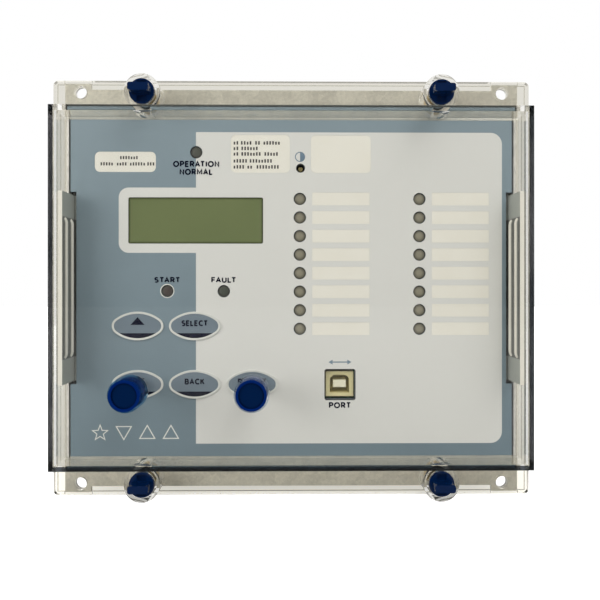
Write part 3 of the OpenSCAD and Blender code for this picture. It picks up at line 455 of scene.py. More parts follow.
def printed_film():
    """The overlay film: a pale panel and display surround on blue grey painted lighter towards the top as a
    painted reflection, a white ring, the contrast sign, a dark field round the socket and painted shade in
    the trimmer's hole."""
    finish = Finish("printed film", BLUE_GREY, 0.42, Specular_IOR_Level=0.3)
    x, _, z = finish.place()
    panel = box_edge(x, z, PANEL_LEFT - LAP, PANEL_RIGHT, PANEL_LOW, PANEL_HIGH, PANEL_R)
    panel = panel.most(PANEL_LEFT - x)
    surround = box_edge(x, z, SURROUND_LEFT, PANEL_LEFT + LAP, SURROUND_LOW, SURROUND_HIGH, SURROUND_R)
    # painted reflection: the blue grey is painted lighter towards the top, as the cover's reflection of the
    # room, with a little cloudy noise
    height = (z / GLARE_FADE_H + 0.5 + (finish.noise(50.0, 1.0) - 0.5) * 0.25).unit()
    blue = finish.mix(height, BLUE_PAINTED_DIM, BLUE_PAINTED_GLARE)
    colour = finish.mix(inside(panel.least(surround)), blue, PALE_GREY)
    ring = circle_edge(x, z, STATUS["start"], START_RING_R)
    colour = finish.mix(inside(ring), colour, PRINT_WHITE)
    icon = circle_edge(x, z, CONTRAST, ICON_R)
    half = inside(icon) * inside(CONTRAST[0] - x)
    line = inside(abs(icon + ICON_LINE / 2) - ICON_LINE / 2)
    colour = finish.mix(half.most(line), colour, linear(110, 132, 150))
    left, right = SOCKET[0] - SOCKET_HALF, SOCKET[0] + SOCKET_HALF
    low, high = SOCKET[1] - SOCKET_HALF, SOCKET[1] + SOCKET_HALF
    socket = inside(box_edge(x, z, left, right, low, high, SOCKET_R))
    # the dark field round the socket is print; the dark disc round the trimmer hole is painted shade of the
    # hole
    dark = socket.most(inside(circle_edge(x, z, TRIMMER, TRIMMER_HOLE_R)))
    finish.feed("Base Color", finish.mix(dark, colour, linear(20, 20, 22)))
    finish.bump(finish.noise(0.35, 1.0), 0.008, 0.4)
    return finish


def key_print(name, at):
    """A key: white ring round a blue-grey field with a dark foot."""
    finish = Finish(name, BLUE_GREY, 0.5, Specular_IOR_Level=0.05)
    x, _, z = finish.place()
    edge = oval_edge(x, z, at, KEY_HALF_W, KEY_HALF_H, KEY_END_R)
    foot = inside(z - (at[1] - KEY_CHORD))
    field = finish.mix(foot, linear(120, 134, 145), INK)
    finish.feed("Base Color", finish.mix(inside(edge + KEY_RING), PRINT_WHITE, field))
    return finish


def display_glass():
    """Olive display behind clear glass, with painted shade that darkens it towards its edge."""
    low, high = box_mm("lcd_glass")
    low, high = low + DISPLAY_BORDER, high - DISPLAY_BORDER
    finish = Finish("display glass", OLIVE, 0.3, Specular_IOR_Level=0.08)
    x, _, z = finish.place()
    edge = box_edge(x, z, low[0], high[0], low[2], high[2], DISPLAY_R)
    shade = (1 + edge / DISPLAY_SHADE).unit()
    cloud = finish.noise(30.0, 1.0)
    olive = finish.mix(cloud, linear(106, 118, 80), linear(122, 132, 92))
    finish.feed("Base Color", finish.mix(shade, olive, linear(50, 54, 40)))
    return finish


def lamp_lens(name, rows):
    """Lamp lenses: a dull lens, painted darker towards its rim as shade. rows lists each lamp's place and its
    colour.
    """
    finish = Finish(name, LENS, 0.4, Specular_IOR_Level=0.25)
    x, _, z = finish.place()
    colour = linear(76, 76, 71)
    for at, lens in rows:
        # painted shade: each lens darkens towards its rim
        colour = finish.mix(inside(circle_edge(x, z, at, LENS_R), 0.6), colour, lens)
    finish.feed("Base Color", colour)
    return finish


def lamp_column(name, across):
    """A column of like lenses, found by rounding to the nearest lamp."""
    finish = Finish(name, LENS, 0.4, Specular_IOR_Level=0.25)
    x, _, z = finish.place()
    row = ((LAMP_TOP - z) / LAMP_PITCH).nearest()
    up = z - (LAMP_TOP - row * LAMP_PITCH)
    away = ((x - across) * (x - across) + up * up).root() - LENS_R
    # painted shade: each lens darkens towards its rim
    finish.feed("Base Color", finish.mix(inside(away, 0.7), linear(92, 90, 80), LENS))
    return finish


def circuit_board():
    """Green coated board with fine copper lines under the coat."""
    finish = Finish("circuit board", linear(30, 92, 58), 0.35, Coat_Weight=0.3)
    lines = finish.noise(6.0, 0.0, (1, 8, 1))
    tracks = inside(abs(lines - 0.5) - 0.03, 0.02)
    finish.feed("Base Color", finish.mix(tracks, linear(24, 82, 50), linear(52, 124, 76)))
    return finish


def wound_core():
    """Taped windings: stripes of tape that run across the rings."""
    finish = Finish("wound core", linear(190, 150, 70), 0.45)
    _, y, z = finish.place()
    turns = ((y + z) * 5.0).sine()
    finish.feed("Base Color", finish.mix(turns * 0.5 + 0.5, linear(150, 108, 44), linear(206, 170, 92)))
    return finish


def clear_plastic():
    """Clear cover plastic with a painted reflection on the ends of its walls, and collars tinted with their
    buttons' blue, the right one paler as painted light. Light for what is behind it goes straight through."""
    finish = Finish("clear plastic", CLEAR, 0.02, IOR=1.32, Transmission_Weight=1.0)
    x, y, z = finish.place()
    front = inside(y - (COVER_Y + COVER_WALL), 0.3)
    colour = finish.mix(inside(FLANGE_Y - y), CLEAR, CLEAR_FLANGE)
    # painted reflection: the walls' ends seen through the front are painted pale at the top and near black
    # low and at the sides
    colour = finish.mix(front * inside(COVER_HALF_H - COVER_WALL - z), colour, WALL_END_TOP)
    colour = finish.mix(front * inside(COVER_HALF_H - COVER_WALL + z), colour, WALL_END_LOW)
    painted_band_streaks = ((finish.noise(14.0, 2.0, (1, 1, 3)) - 0.45) * 4.0).unit()
    ends = finish.mix(painted_band_streaks, *WALL_END_SIDES)
    colour = finish.mix(front * inside(COVER_HALF_W - COVER_WALL - abs(x)), colour, ends)
    finish.feed("Base Color", colour)
    surface = finish.shader.outputs[0]
    standing = inside(y - (COVER_Y - 0.3), 0.1) * COLLAR_CLEAR
    # collars tinted with their buttons' blue, the right one paler as painted light
    for node, tint in zip(BUTTONS, COLLAR_TINTS):
        collar = inside(circle_edge(x, z, middle_mm(node)[::2], COLLAR_R), 0.2)
        tinted = finish.node("ShaderNodeBsdfTransparent", inputs={"Color": tint})
        surface = finish.blend(collar * standing, surface, tinted.outputs[0])
    path = finish.node("ShaderNodeLightPath")
    through = finish.node("ShaderNodeBsdfTransparent", inputs={"Color": CLEAR_THROUGH})
    for ray in ("Is Diffuse Ray", "Is Shadow Ray"):
        surface = finish.blend(path.outputs[ray], surface, through.outputs[0])
    finish.show(surface)
    return finish


def dress():
    """Gives every node of the frame its finish, and gives back the card's."""
    black = moulding("black moulding", linear(30, 30, 32), 0.5)
    card = label_card()
    blue = moulding("blue moulding", NAVY, 0.2, 0.004)
    blue.feed("Specular IOR Level", 0.2)
    status = [
        (STATUS["healthy"], linear(87, 89, 82)),
        (STATUS["start"], linear(80, 72, 69)),
        (STATUS["trip"], linear(78, 83, 75)),
    ]
    looks = {
        "case_shell rear_plate front_plate side_plate_left side_plate_right rear_frame": zinc_sheet(),
        "terminal_block_left terminal_block_middle terminal_block_right chassis_guides": black,
        "board_headers lcd_frame key_switches": black,
        "terminal_screws block_screws frame_screws button_clip_left button_clip_right":
            bright_metal("plated steel", PLATED),
        "terminal_plates earth_stud earth_nut cover_bushes": bright_metal("brass", BRASS, 0.3),
        "trimmer_screw": trimmer_metal(),
        "fascia": moulding("fascia moulding", linear(104, 117, 123), 0.6),
        "overlay": printed_film(),
        "handle_left handle_right": handle_plastic(),
        "lcd_glass": display_glass(),
        "lamps_status": lamp_lens("status lenses", status),
        "lamps_left": lamp_column("left lenses", middle_mm("lamps_left")[0]),
        "lamps_right": lamp_column("right lenses", middle_mm("lamps_right")[0]),
        "label_cards name_label ratings_label": card,
        "front_board processor_board analogue_board power_board": circuit_board(),
        "trimmer_body": moulding("trimmer moulding", linear(26, 26, 27), 0.4),
        "usb_shell": moulding("socket shell", linear(236, 226, 172), 0.4),
        "usb_tongue": moulding("socket tongue", linear(255, 252, 226), 0.45),
        "board_plugs": moulding("plug green", linear(40, 92, 58), 0.5),
        "current_transformers": wound_core(),
        "output_relays": moulding("relay cans", linear(222, 222, 214), 0.4),
        "supply_transformer": moulding("laminated core", linear(86, 82, 76), 0.55, 0.05),
        "capacitors": moulding("capacitor sleeve", linear(34, 40, 80), 0.3),
        "cover": clear_plastic(),
        " ".join(FASTENERS): blue,
        "button_left": button_plastic("left button", middle_mm("button_left")),
        "button_right": button_plastic("right button", middle_mm("button_right")),
    }
    for name in KEYS:
        looks[name] = key_print("print on " + name.replace("_", " "), middle_mm(name)[::2])
    for names, finish in looks.items():
        for name in names.split():
            NODES[name].data.materials.clear()
            NODES[name].data.materials.append(finish.material)
    return card


# Thin shapes


def piece(name, shape, finish, body):
    """A new mesh from a shape's corners and faces, riding on a body of the frame."""
    corners, faces = shape
    mesh = bpy.data.meshes.new(name)
    mesh.from_pydata((np.asarray(corners, float) * MM).tolist(), [], faces)
    mesh.validate()
    mesh.update()
    mesh.materials.append(finish.material)
    made = bpy.data.objects.new(name, mesh)
    bpy.context.scene.collection.objects.link(made)
    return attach(made, body)


def at_depth(outline, y):
    """Points of a flat outline in X and Z, all at depth y."""
    outline = np.asarray(outline, float)
    return np.column_stack([outline[:, 0], np.full(len(outline), y), outline[:, 1]])


def slug(outline, face_y, thickness=PRINT_T):
    """A thin slab: an anticlockwise outline pushed forward from the face by its thickness."""
    count = len(outline)
    corners = np.vstack([at_depth(outline, face_y - thickness), at_depth(outline, face_y)])
    step = np.arange(count)
    after = (step + 1) % count
    sides = np.column_stack([step, step + count, after + count, after]).tolist()
    return corners, [step.tolist(), (step[::-1] + count).tolist(), *sides]


def ring_faces(count, turns):
    """Quads of a closed ring of rings: each of the turns joins the next, and the last joins the first."""
    step, ring = np.meshgrid(np.arange(count), np.arange(turns))
    after, beyond = (step + 1) % count, (ring + 1) % turns
    here, there = ring * count, beyond * count
    return np.stack([here + step, there + step, there + after, here + after], axis=2).reshape(-1, 4)


def band(outer, inner, face_y):
    """A thin closed band between two outlines of as many points, standing out by the print's thickness."""
    front = face_y - PRINT_T
    rings = [at_depth(outer, front), at_depth(outer, face_y), at_depth(inner, face_y), at_depth(inner, front)]
    return np.vstack(rings), ring_faces(len(outer), len(rings)).tolist()


def round_box(at, width, height, radius, count=6):
    """Anticlockwise outline of a rectangle with round corners: a quarter arc at each corner."""
    angle = np.radians(np.linspace(0.0, 90.0, count))
    reach = np.array([width, height]) / 2 - radius
    corners = []
    for quarter, (side, up) in enumerate(((1, 1), (-1, 1), (-1, -1), (1, -1))):
        around = angle + quarter * math.pi / 2
        arc = np.column_stack([np.cos(around), np.sin(around)]) * radius
        corners.append(np.array(at) + reach * (side, up) + arc)
    return np.vstack(corners)


def polygon(at, radius, count, turn=90.0):
    """Corners of a regular polygon, anticlockwise from turn degrees."""
    angle = np.radians(turn + 360.0 * np.arange(count) / count)
    return np.column_stack([at[0] + radius * np.cos(angle), at[1] + radius * np.sin(angle)])


def star(at, radius, waist=0.42):
    """Corners of a five-pointed star: points and waists in turn round the middle."""
    angle = np.radians(90.0 + 36.0 * np.arange(10))
    reach = radius * np.where(np.arange(10) % 2 == 0, 1.0, waist)
    return np.column_stack([at[0] + reach * np.cos(angle), at[1] + reach * np.sin(angle)])


def oval(at, half_w, half_h, end_r, count=96):
    """Points of an oval of four arcs, anticlockwise: the right end, the top, and both turned half round."""
    reach = half_w - end_r
    drop = (reach**2 - (half_h - end_r) ** 2) / (2 * (half_h - end_r))
    meet = math.atan2(drop, reach)
    side = np.linspace(-meet, meet, count // 8, endpoint=False)
    flat = np.linspace(meet, math.pi - meet, count // 2 - count // 8, endpoint=False)
    right = np.column_stack([reach + end_r * np.cos(side), end_r * np.sin(side)])
    top = np.column_stack([(drop + half_h) * np.cos(flat), (drop + half_h) * np.sin(flat) - drop])
    half = np.vstack([right, top])
    return np.vstack([half, -half]) + at


def gather(parts):
    """Puts several closed shapes into one list of corners and faces."""
    corners, faces, count = [], [], 0
    for spots, sides in parts:
        faces += [[count + corner for corner in side] for side in sides]
        corners.append(spots)
        count += len(spots)
    return np.vstack(corners), faces


def stroke_slab(path, width, face_y):
    """A thin slab along a path: its profile is a rectangle, turned to the mitre at each bend."""
    path = np.asarray(path, float)
    along = np.diff(path, axis=0)
    along /= np.linalg.norm(along, axis=1)[:, None]
    before, after = np.vstack([along[:1], along]), np.vstack([along, along[-1:]])
    across = np.column_stack([-(before + after)[:, 1], (before + after)[:, 0]])
    across /= np.linalg.norm(across, axis=1)[:, None]
    square = np.column_stack([-before[:, 1], before[:, 0]])
    across *= (width / 2 / np.maximum((across * square).sum(1), 0.6))[:, None]
    return along_path(path + across, path - across, face_y)


def along_path(left, right, face_y):
    """Joins the left and right edges of a stroke into a closed slab that stands out from the face."""
    count, front = len(left), face_y - PRINT_T
    edges = [at_depth(left, front), at_depth(right, front), at_depth(right, face_y), at_depth(left, face_y)]
    corners = np.stack(edges, axis=1).reshape(-1, 3)
    end = 4 * (count - 1)
    caps = [[3, 2, 1, 0], [end, end + 1, end + 2, end + 3]]
    return corners, [*tube_faces(count, 4).tolist(), *caps]


def tube_faces(count, sides):
    """Quads along a tube: a ring of so many sides at each of count places, open at both ends."""
    first = sides * np.arange(count - 1)[:, None]
    here = np.arange(sides)[None, :]
    after = (here + 1) % sides
    quads = np.stack([first + here, first + after, first + sides + after, first + sides + here], axis=2)
    return quads.reshape(-1, 4)


# Lettering


def bow(at, half_w, half_h, start, end, count=10):
    """Points of an elliptic arc between two angles in degrees."""
    angle = np.radians(np.linspace(start, end, count))
    return [*zip(at[0] + half_w * np.cos(angle), at[1] + half_h * np.sin(angle))]


# Each letter is a list of strokes in a box one unit high
STROKES = {
    "A": [[(0, 0), (0.36, 1), (0.72, 0)], [(0.13, 0.32), (0.59, 0.32)]],
    "B": [[(0, 0), (0, 1), *bow((0.3, 0.76), 0.24, 0.24, 90, -90), (0, 0.52)],
          [(0, 0.52), *bow((0.32, 0.26), 0.26, 0.26, 90, -90), (0, 0)]],
    "C": [bow((0.42, 0.5), 0.42, 0.5, 48, 312, 16)],
    "E": [[(0.52, 1), (0, 1), (0, 0), (0.52, 0)], [(0, 0.52), (0.46, 0.52)]],
    "F": [[(0.52, 1), (0, 1), (0, 0)], [(0, 0.5), (0.46, 0.5)]],
    "I": [[(0, 0), (0, 1)]],
    "K": [[(0, 0), (0, 1)], [(0.56, 1), (0, 0.42)], [(0.2, 0.62), (0.6, 0)]],
    "L": [[(0, 1), (0, 0), (0.48, 0)]],
    "M": [[(0, 0), (0, 1), (0.4, 0.25), (0.8, 1), (0.8, 0)]],
    "N": [[(0, 0), (0, 1), (0.62, 0), (0.62, 1)]],
    "O": [bow((0.44, 0.5), 0.44, 0.5, 90, 450, 25)],
    "P": [[(0, 0), (0, 1), *bow((0.3, 0.74), 0.26, 0.26, 90, -90), (0, 0.48)]],
    "R": [[(0, 0), (0, 1), *bow((0.3, 0.74), 0.26, 0.26, 90, -90), (0, 0.48)],
          [(0.26, 0.48), (0.6, 0)]],
    "S": [[*bow((0.28, 0.755), 0.26, 0.245, 35, 265), *bow((0.28, 0.255), 0.28, 0.255, 85, -145)]],
    "T": [[(0, 1), (0.64, 1)], [(0.32, 1), (0.32, 0)]],
    "U": [[(0, 1), *bow((0.31, 0.31), 0.31, 0.31, 180, 360), (0.62, 1)]],
    "0": [bow((0.29, 0.5), 0.29, 0.5, 90, 450, 17)],
    "1": [[(0.1, 0.78), (0.34, 1), (0.34, 0)]],
    "2": [[*bow((0.28, 0.72), 0.28, 0.28, 160, -35, 8), (0, 0), (0.58, 0)]],
    "3": [bow((0.26, 0.75), 0.26, 0.25, 145, -90, 8), bow((0.27, 0.26), 0.3, 0.26, 90, -145, 8)],
    "4": [[(0.46, 0), (0.46, 1), (0, 0.3), (0.64, 0.3)]],
    "5": [[(0.54, 1), (0.08, 1), (0.04, 0.55), *bow((0.27, 0.32), 0.3, 0.32, 115, -140, 9)]],
    "6": [bow((0.29, 0.3), 0.29, 0.3, 160, 520, 15), [(0.5, 1), (0.24, 0.86), (0.03, 0.42)]],
    "7": [[(0, 1), (0.58, 1), (0.2, 0)]],
    "8": [bow((0.29, 0.76), 0.24, 0.24, 90, 450, 13), bow((0.29, 0.26), 0.29, 0.26, 90, 450, 15)],
    "9": [bow((0.29, 0.7), 0.29, 0.3, -20, 340, 15), [(0.08, 0), (0.34, 0.14), (0.55, 0.58)]],
}
STROKE_W, LETTER_GAP = 0.24, 0.39
# Pairs of letters that are set closer, by this share of their height
CLOSER = {
    "FA": 0.12, "AU": 0.04, "LT": 0.2, "TA": 0.14, "AT": 0.14, "RA": 0.05, "PO": 0.05, "RT": 0.06, "CT": 0.05,
}


def lettering(words, at, size, face_y):
    """Closed slabs for each stroke of a word, fitted to a width and height round a point."""
    paths, start, width = [], 0.0, 0.0
    for letter, following in zip(words, words[1:] + " "):
        strokes = [np.array(stroke, float) + (start, 0.0) for stroke in STROKES[letter]]
        paths += strokes
        width = max(stroke[:, 0].max() for stroke in strokes)
        start = width + LETTER_GAP - CLOSER.get(letter + following, 0.0)
    scale = np.array([(size[0] - STROKE_W * size[1]) / max(width, 0.01), size[1] * (1 - STROKE_W)])
    low = np.array(at) - scale * (width, 1.0) / 2
    return gather([stroke_slab(low + path * scale, STROKE_W * size[1], face_y) for path in paths])


# Small print, in shares of its height: step and width of a stroke, its two heights and its foot, gap of words
ROW_STEP, ROW_STROKE_W, ROW_TALL, ROW_SHORT, ROW_FOOT, WORD_GAP = 0.72, 0.4, 0.5, 0.36, 0.36, 0.9


def text_rows(rows, height):
    """Small print too fine to read: each row is a left end, a middle height and its words' lengths, and
    each word is a run of short upright strokes of two heights on a card's face."""
    bars = []
    for left, up, lengths in rows:
        for length in lengths:
            for spot in np.arange(left, left + length, ROW_STEP * height):
                top = ROW_TALL if round(spot * 10) % 3 else ROW_SHORT
                ends = np.array([[spot, up - ROW_FOOT * height], [spot, up + top * height]])
                bars.append(stroke_slab(ends, ROW_STROKE_W * height, CARD_Y))
            left += length + WORD_GAP * height
    return gather(bars)


# Print on the rear


def seen_from_behind(shape, across, face_y):
    """Turns a shape half round an upright line, so that print for the front lies on a rear face."""
    corners, faces = shape
    return corners * (-1, -1, 1) + (2 * across, 2 * face_y, 0), faces


def rear_numbers(node):
    """Numbers beside the terminals of one block, odd ones in the left column seen from behind."""
    low, high = box_mm(node)
    middle = (low[0] + high[0]) / 2
    parts = []
    for row in range(TERMINAL_ROWS):
        up = ((TERMINAL_ROWS - 1) / 2 - row) * ROW_PITCH
        for column, side in ((1, -NUMBER_X), (2, NUMBER_X)):
            word = str(2 * row + column)
            size = (NUMBER_W * len(word) + NUMBER_EXTRA, NUMBER_H)
            shape = lettering(word, (middle + side, up), size, high[1])
            parts.append(seen_from_behind(shape, middle, high[1]))
    return gather(parts)


# The earth sign: height above the stud, length of its lead, its line, and its bars' half widths and drops
EARTH_UP, EARTH_LEAD, EARTH_LINE_W = 10.0, 3.2, 0.5
EARTH_BARS = ((2.4, 0.0), (1.6, 1.2), (0.8, 2.4))


def print_rear():
    """Terminal numbers on the blocks and the earth sign beside its stud."""
    white = print_ink("white print", linear(206, 206, 200), linear(176, 176, 170))
    ink = print_ink("black print", linear(34, 34, 36), linear(60, 60, 60))
    for node in ("terminal_block_left", "terminal_block_middle", "terminal_block_right"):
        piece("numbers_on_" + node, rear_numbers(node), white, "case")
    across, _, up = middle_mm("earth_nut")
    face_y = box_mm("rear_plate")[1][1]
    up += EARTH_UP
    lines = [((across, up + EARTH_LEAD), (across, up))]
    lines += [((across - half, up - drop), (across + half, up - drop)) for half, drop in EARTH_BARS]
    sign = gather([stroke_slab(line, EARTH_LINE_W, face_y) for line in lines])
    piece("earth_sign", seen_from_behind(sign, across, face_y), ink, "case")


# Print on the front


def card_faces(card):
    """Faces of the cards and labels that fill the overlay's windows, almost level with the film."""
    boxes = [
        (TOP_WINDOW_AT, TOP_WINDOW_SIZE, TOP_WINDOW_R),
        (NAME_AT, NAME_SIZE, NAME_R),
        (RATINGS_AT, RATINGS_SIZE, RATINGS_R),
    ]
    for across in LABEL_COLUMNS:
        boxes += [((across, LAMP_TOP - row * LAMP_PITCH), LABEL_SIZE, LABEL_R) for row in range(LAMP_ROWS)]
    slabs = []
    for at, size, radius in boxes:
        outline = round_box(at, size[0] - WINDOW_GAP, size[1] - WINDOW_GAP, radius)
        slabs.append(slug(outline, FACE_Y + FILM_T, FILM_T - CARD_SUNK))
    piece("card_faces", gather(slabs), card, "chassis")


SOCKET_X = middle_mm("usb_shell")[0]
# Words on the overlay: the middle of each, and its width and height
OVERLAY_WORDS = {
    "operation": ((STATUS["healthy"][0], 53.6), (20.0, 2.7)),
    "normal": ((STATUS["healthy"][0], 50.2), (14.4, 2.7)),
    "start": ((STATUS["start"][0], 3.5), (11.2, 2.5)),
    "fault": ((STATUS["trip"][0], 3.5), (10.8, 2.5)),
    "port": ((SOCKET_X, -50.8), (9.6, 2.7)),
}
# Words on the keys, with their widths
KEY_WORDS = {"key_enter": ("select", 11.4), "key_cancel": ("back", 8.6), "key_right": ("reset", 12.4)}
KEY_WORD_UP, KEY_WORD_H = 1.2, 2.6
# Arrows on the keys: which way each points in degrees, and their height on the key, radius and stretch across
KEY_ARROWS = {"key_up": 90.0, "key_down": 270.0}
KEY_ARROW_UP, KEY_ARROW_R, KEY_ARROW_WIDER = 1.6, 2.2, 1.6
# The port's sign: an arrow that points both ways
PORT_SIGN_UP, PORT_SIGN_HALF, PORT_SIGN_W, PORT_HEAD_R = -32.1, 3.2, 0.5, 1.2
# Small print: its height, and each row's left end, middle height and words' lengths
NAME_LEFT, NAME_UP = NAME_AT[0] - NAME_SIZE[0] / 2, NAME_AT[1]
NAME_ROW_H = 1.6
NAME_ROWS = (
    (NAME_LEFT + 11.2, NAME_UP + 1.7, (7.0,)),
    (NAME_LEFT + 2.8, NAME_UP - 1.0, (5.6, 4.2, 6.0, 2.8)),
)
RATINGS_LEFT, RATINGS_TOP = RATINGS_AT[0] - RATINGS_SIZE[0] / 2 + 1.5, RATINGS_AT[1] + RATINGS_SIZE[1] / 2
RATINGS_ROW_H = 1.75
RATINGS_ROWS = (
    (RATINGS_LEFT, RATINGS_TOP - 3.6, (1.6, 4.6, 2.0, 7.4)),
    (RATINGS_LEFT, RATINGS_TOP - 6.0, (1.8, 7.2)),
    (RATINGS_LEFT, RATINGS_TOP - 8.4, (1.8, 8.4, 6.2)),
    (RATINGS_LEFT, RATINGS_TOP - 11.4, (5.4, 9.0)),
    (RATINGS_LEFT, RATINGS_TOP - 14.0, (4.4, 2.4, 10.0)),
)
# A key's white rim: how far out from the key's edge, and at what depth, each corner of its profile lies
RIM_UNDER, RIM_EDGE, RIM_FRONT = KEY_Y - 0.04, KEY_Y - 0.1, KEY_Y - 0.18
RIM_PROFILE = (
    (-0.36, RIM_UNDER), (-0.36, RIM_EDGE), (-0.26, RIM_FRONT), (0.28, RIM_FRONT),
    (0.38, RIM_EDGE), (0.38, FACE_Y), (0.31, FACE_Y), (0.31, RIM_UNDER),
)
# Outlines low on the left: the outer and inner edge of each sign
STAR_AT, STAR_RADII, TRIANGLE_RADII = (-82.8, -62.6), (4.0, 2.9), (4.2, 3.3)
OUTLINE_SIGNS = {
    "star": [star(STAR_AT, radius) for radius in STAR_RADII],
    "low_sign": [polygon((-72.6, -61.7), radius, 3, 270.0) for radius in TRIANGLE_RADII],
    "first_sign": [polygon((-62.5, -63.1), radius, 3) for radius in TRIANGLE_RADII],
    "second_sign": [polygon((-52.3, -63.1), radius, 3) for radius in TRIANGLE_RADII],
}


def both_ways():
    """A line with an arrow head at each end."""
    ends = np.array([[SOCKET_X - PORT_SIGN_HALF, PORT_SIGN_UP], [SOCKET_X + PORT_SIGN_HALF, PORT_SIGN_UP]])
    parts = [stroke_slab(ends, PORT_SIGN_W, FACE_Y)]
    for side, turn in ((-1, 180.0), (1, 0.0)):
        middle = SOCKET_X + side * (PORT_SIGN_HALF + PORT_HEAD_R / 2)
        parts.append(slug(polygon((middle, PORT_SIGN_UP), PORT_HEAD_R, 3, turn), FACE_Y))
    return gather(parts)


def key_rim(name):
    """A white rim on the overlay that laps over a key's edge: an angle profile carried round the oval."""
    at = middle_mm(name)[::2]
    rings = []
    for out, y in RIM_PROFILE:
        rings.append(at_depth(oval(at, KEY_HALF_W + out, KEY_HALF_H + out, KEY_END_R + out), y))
    return np.vstack(rings), ring_faces(len(rings[0]), len(rings)).tolist()


def key_arrow(name, turn):
    """A triangle on a key, stretched across."""
    across, _, up = middle_mm(name)
    outline = polygon((across, up + KEY_ARROW_UP), KEY_ARROW_R, 3, turn)
    outline[:, 0] = across + (outline[:, 0] - across) * KEY_ARROW_WIDER
    return slug(outline, KEY_Y)


def print_legends():
    """Words, arrows and signs on the overlay and keys, small print on the labels, and rims round the keys."""
    ink = print_ink("dark ink", INK, linear(14, 18, 44), 0.0)
    white = print_ink("white ink", PRINT_WHITE, linear(212, 215, 212))
    rim = moulding("white rim", linear(220, 222, 217), 0.45, 0.01)
    grey = print_ink("grey ink", linear(58, 56, 54), linear(84, 82, 78))
    pale_blue = print_ink("blue-grey ink", linear(112, 134, 150), linear(126, 146, 160))
    for word, (at, size) in OVERLAY_WORDS.items():
        piece("legend_" + word, lettering(word.upper(), at, size, FACE_Y), ink, "chassis")
    for key, (word, width) in KEY_WORDS.items():
        across, _, up = middle_mm(key)
        shape = lettering(word.upper(), (across, up + KEY_WORD_UP), (width, KEY_WORD_H), KEY_Y)
        piece("legend_" + word, shape, ink, key)
    for key, turn in KEY_ARROWS.items():
        piece("arrow_on_" + key, key_arrow(key, turn), ink, key)
    for key in KEYS:
        piece("bezel_of_" + key, key_rim(key), rim, "chassis")
    piece("sign_both_ways", both_ways(), pale_blue, "chassis")
    piece("name_rows", text_rows(NAME_ROWS, NAME_ROW_H), grey, "chassis")
    piece("ratings_rows", text_rows(RATINGS_ROWS, RATINGS_ROW_H), grey, "chassis")
    for name, (outer, inner) in OUTLINE_SIGNS.items():
        piece("printed_" + name, band(outer, inner, FACE_Y), white, "chassis")


# Springs of the cover buttons


def coil(node):
    """A round wire carried along a helix: a ring of points at each step of the turns along Y."""
    low, high = box_mm(node)
    middle = (low + high) / 2
    turn = np.linspace(0.0, 2 * math.pi * SPRING_TURNS, SPRING_TURNS * SPRING_STEPS + 1)[:, None]
    ring = np.linspace(0.0, 2 * math.pi, SPRING_SIDES, endpoint=False)[None, :]
    reach = (high[0] - low[0]) / 2 - SPRING_WIRE_R * (1 - np.cos(ring))
    along = low[1] + SPRING_WIRE_R + (high[1] - low[1] - 2 * SPRING_WIRE_R) * turn / turn[-1]
    depth = along + SPRING_WIRE_R * np.sin(ring)
    corners = np.stack([middle[0] + reach * np.cos(turn), depth, middle[2] + reach * np.sin(turn)], axis=2)
    start = np.arange(SPRING_SIDES)
    end = SPRING_SIDES * (len(turn) - 1) + start
    caps = [start[::-1].tolist(), end.tolist()]
    return corners.reshape(-1, 3), [*tube_faces(len(turn), SPRING_SIDES).tolist(), *caps]


def fit_springs():
    """A return spring round each button's stem, riding on the cover."""
    plated = bright_metal("spring wire", PLATED)
    for side in ("left", "right"):
        node = "button_spring_" + side
        spring = piece("coil_of_" + node, coil(node), plated, "cover")
        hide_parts(node)
        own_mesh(spring)


# Floor, light and camera

WHITE = (1, 1, 1, 1)
ROOM_LIGHT, ROOM_DIM, ROOM_GLEAM = 0.72, 0.05, 0.34
STRAIGHT_DEPTH = 2.5
DIM_FROM, DIM_TO = -0.96, -0.7
FLOOR_HALF_M = 3.0
FLOOR_PALE, FLOOR_DULL, FLOOR_GLOW, FLOOR_BEHIND = (0.9, 0.9, 0.9, 1), (0.47, 0.47, 0.47, 1), 0.75, 0.6
# Each lamp's name, place and size in metres, watts, and whether mirrors and clear plastic show it
LAMPS = (
    ("key lamp", (-0.8, -0.75, 0.12), 0.7, 5.0, True, True),
    ("fill lamp", (0.45, -0.7, 0.9), 0.7, 3.5, True, True),
    ("front lamp", (0.25, -1.2, 0.3), 0.8, 2.45, False, False),
    ("back lamp", (-0.8, 1.0, 0.3), 0.8, 3.6, True, False),
)
LAMP_AIM_M = (0.0, 0.05, 0.0)
CAMERA_AWAY, CAMERA_YAW, CAMERA_LENS, CAMERA_SHIFT = 303.5, 0.66, 41.8, -0.02


def white_room():
    """An even white surround, brighter in mirrors and clear plastic than as a lamp, with a dim patch in
    front as where the person with the camera stands."""
    world = bpy.data.worlds.new("white room")
    world.use_nodes = True
    room = Finish.of_tree(world.node_tree, "Background")
    spot = room.node("ShaderNodeTexCoord").outputs["Generated"]
    split = room.node("ShaderNodeSeparateXYZ", inputs={0: spot})
    span = {"From Min": DIM_FROM, "From Max": DIM_TO, "To Min": ROOM_DIM, "To Max": ROOM_LIGHT}
    dim = room.node("ShaderNodeMapRange", inputs={"Value": split.outputs["Y"], **span})
    path = room.node("ShaderNodeLightPath")
    mirrored = Field(room, path.outputs["Is Glossy Ray"])
    clear = Field(room, path.outputs["Is Transmission Ray"]).most(mirrored)
    room.feed("Color", WHITE)
    room.feed("Strength", Field(room, dim.outputs[0]) * (1 + clear * ROOM_GLEAM))
    seen = room.node("ShaderNodeBackground", inputs={"Color": WHITE})
    surface = room.blend(path.outputs["Is Camera Ray"], room.shader.outputs[0], seen.outputs[0])
    room.show(surface, "World Output")
    bpy.context.scene.world = world


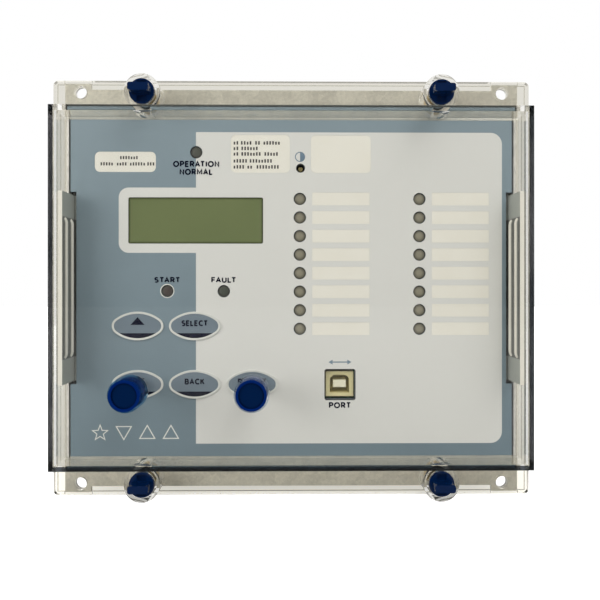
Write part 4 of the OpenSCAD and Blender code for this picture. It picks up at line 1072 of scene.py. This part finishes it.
def pale_floor():
    """Floor that glows a little where it is seen, straight or through clear plastic, and lights other things
    as a dull one."""
    pale = Finish("pale floor", FLOOR_PALE, 0.8, Emission_Color=WHITE, Emission_Strength=FLOOR_GLOW)
    path = pale.node("ShaderNodeLightPath")
    _, y, _ = pale.place()
    straight = (STRAIGHT_DEPTH - Field(pale, path.outputs["Ray Depth"])).above(0.0)
    clear = Field(pale, path.outputs["Is Transmission Ray"]) * straight.most(y.above(0.0) * FLOOR_BEHIND)
    seen = Field(pale, path.outputs["Is Camera Ray"]).most(clear)
    dull = pale.node("ShaderNodeBsdfDiffuse", inputs={"Color": FLOOR_DULL})
    pale.show(pale.blend(seen, dull.outputs[0], pale.shader.outputs[0]))
    return pale


def floor_and_lamps():
    """A pale floor under the lowest edge, and four soft lamps."""
    half, low = FLOOR_HALF_M, cad_bounds[0][2]
    mesh = bpy.data.meshes.new("floor")
    corners = [(-half, -half, low), (half, -half, low), (half, half, low), (-half, half, low)]
    mesh.from_pydata(corners, [], [(0, 1, 2, 3)])
    mesh.materials.append(pale_floor().material)
    floor = bpy.data.objects.new("floor", mesh)
    bpy.context.scene.collection.objects.link(floor)
    for name, spot, size, power, mirrored, through in LAMPS:
        lamp = bpy.data.lights.new(name, "AREA")
        lamp.size = size
        lamp.energy = power
        made = bpy.data.objects.new(name, lamp)
        bpy.context.scene.collection.objects.link(made)
        made.visible_glossy = mirrored
        made.visible_transmission = through
        made.matrix_world = Matrix.Translation(spot) @ look_matrix(np.array(LAMP_AIM_M) - spot)


def look_matrix(direction):
    """A turn that points an object's -Z along a direction with its Y as near up as can be."""
    back = -np.asarray(direction, float)
    back /= np.linalg.norm(back)
    side = np.cross([0.0, 0.0, 1.0], back)
    side /= np.linalg.norm(side)
    up = np.cross(back, side)
    return Matrix(np.column_stack([side, up, back]).tolist()).to_4x4()


def set_camera():
    """The photographed view: straight on, from a short way off and turned slightly to the right."""
    data = bpy.data.cameras.new("front view")
    data.lens = CAMERA_LENS
    data.sensor_width = 36.0
    data.shift_y = CAMERA_SHIFT
    data.clip_start = 0.01
    camera = bpy.data.objects.new("front view", data)
    bpy.context.scene.collection.objects.link(camera)
    yaw = math.radians(CAMERA_YAW)
    spot = (0.0, -CAMERA_AWAY * MM, 0.0)
    camera.matrix_world = Matrix.Translation(spot) @ look_matrix([math.sin(yaw), math.cos(yaw), 0.0])
    bpy.context.scene.camera = camera


card_faces(dress())
print_legends()
print_rear()
fit_springs()
white_room()
floor_and_lamps()
set_camera()
bpy.context.scene.view_settings.view_transform = "Standard"

bpy.context.view_layer.update()
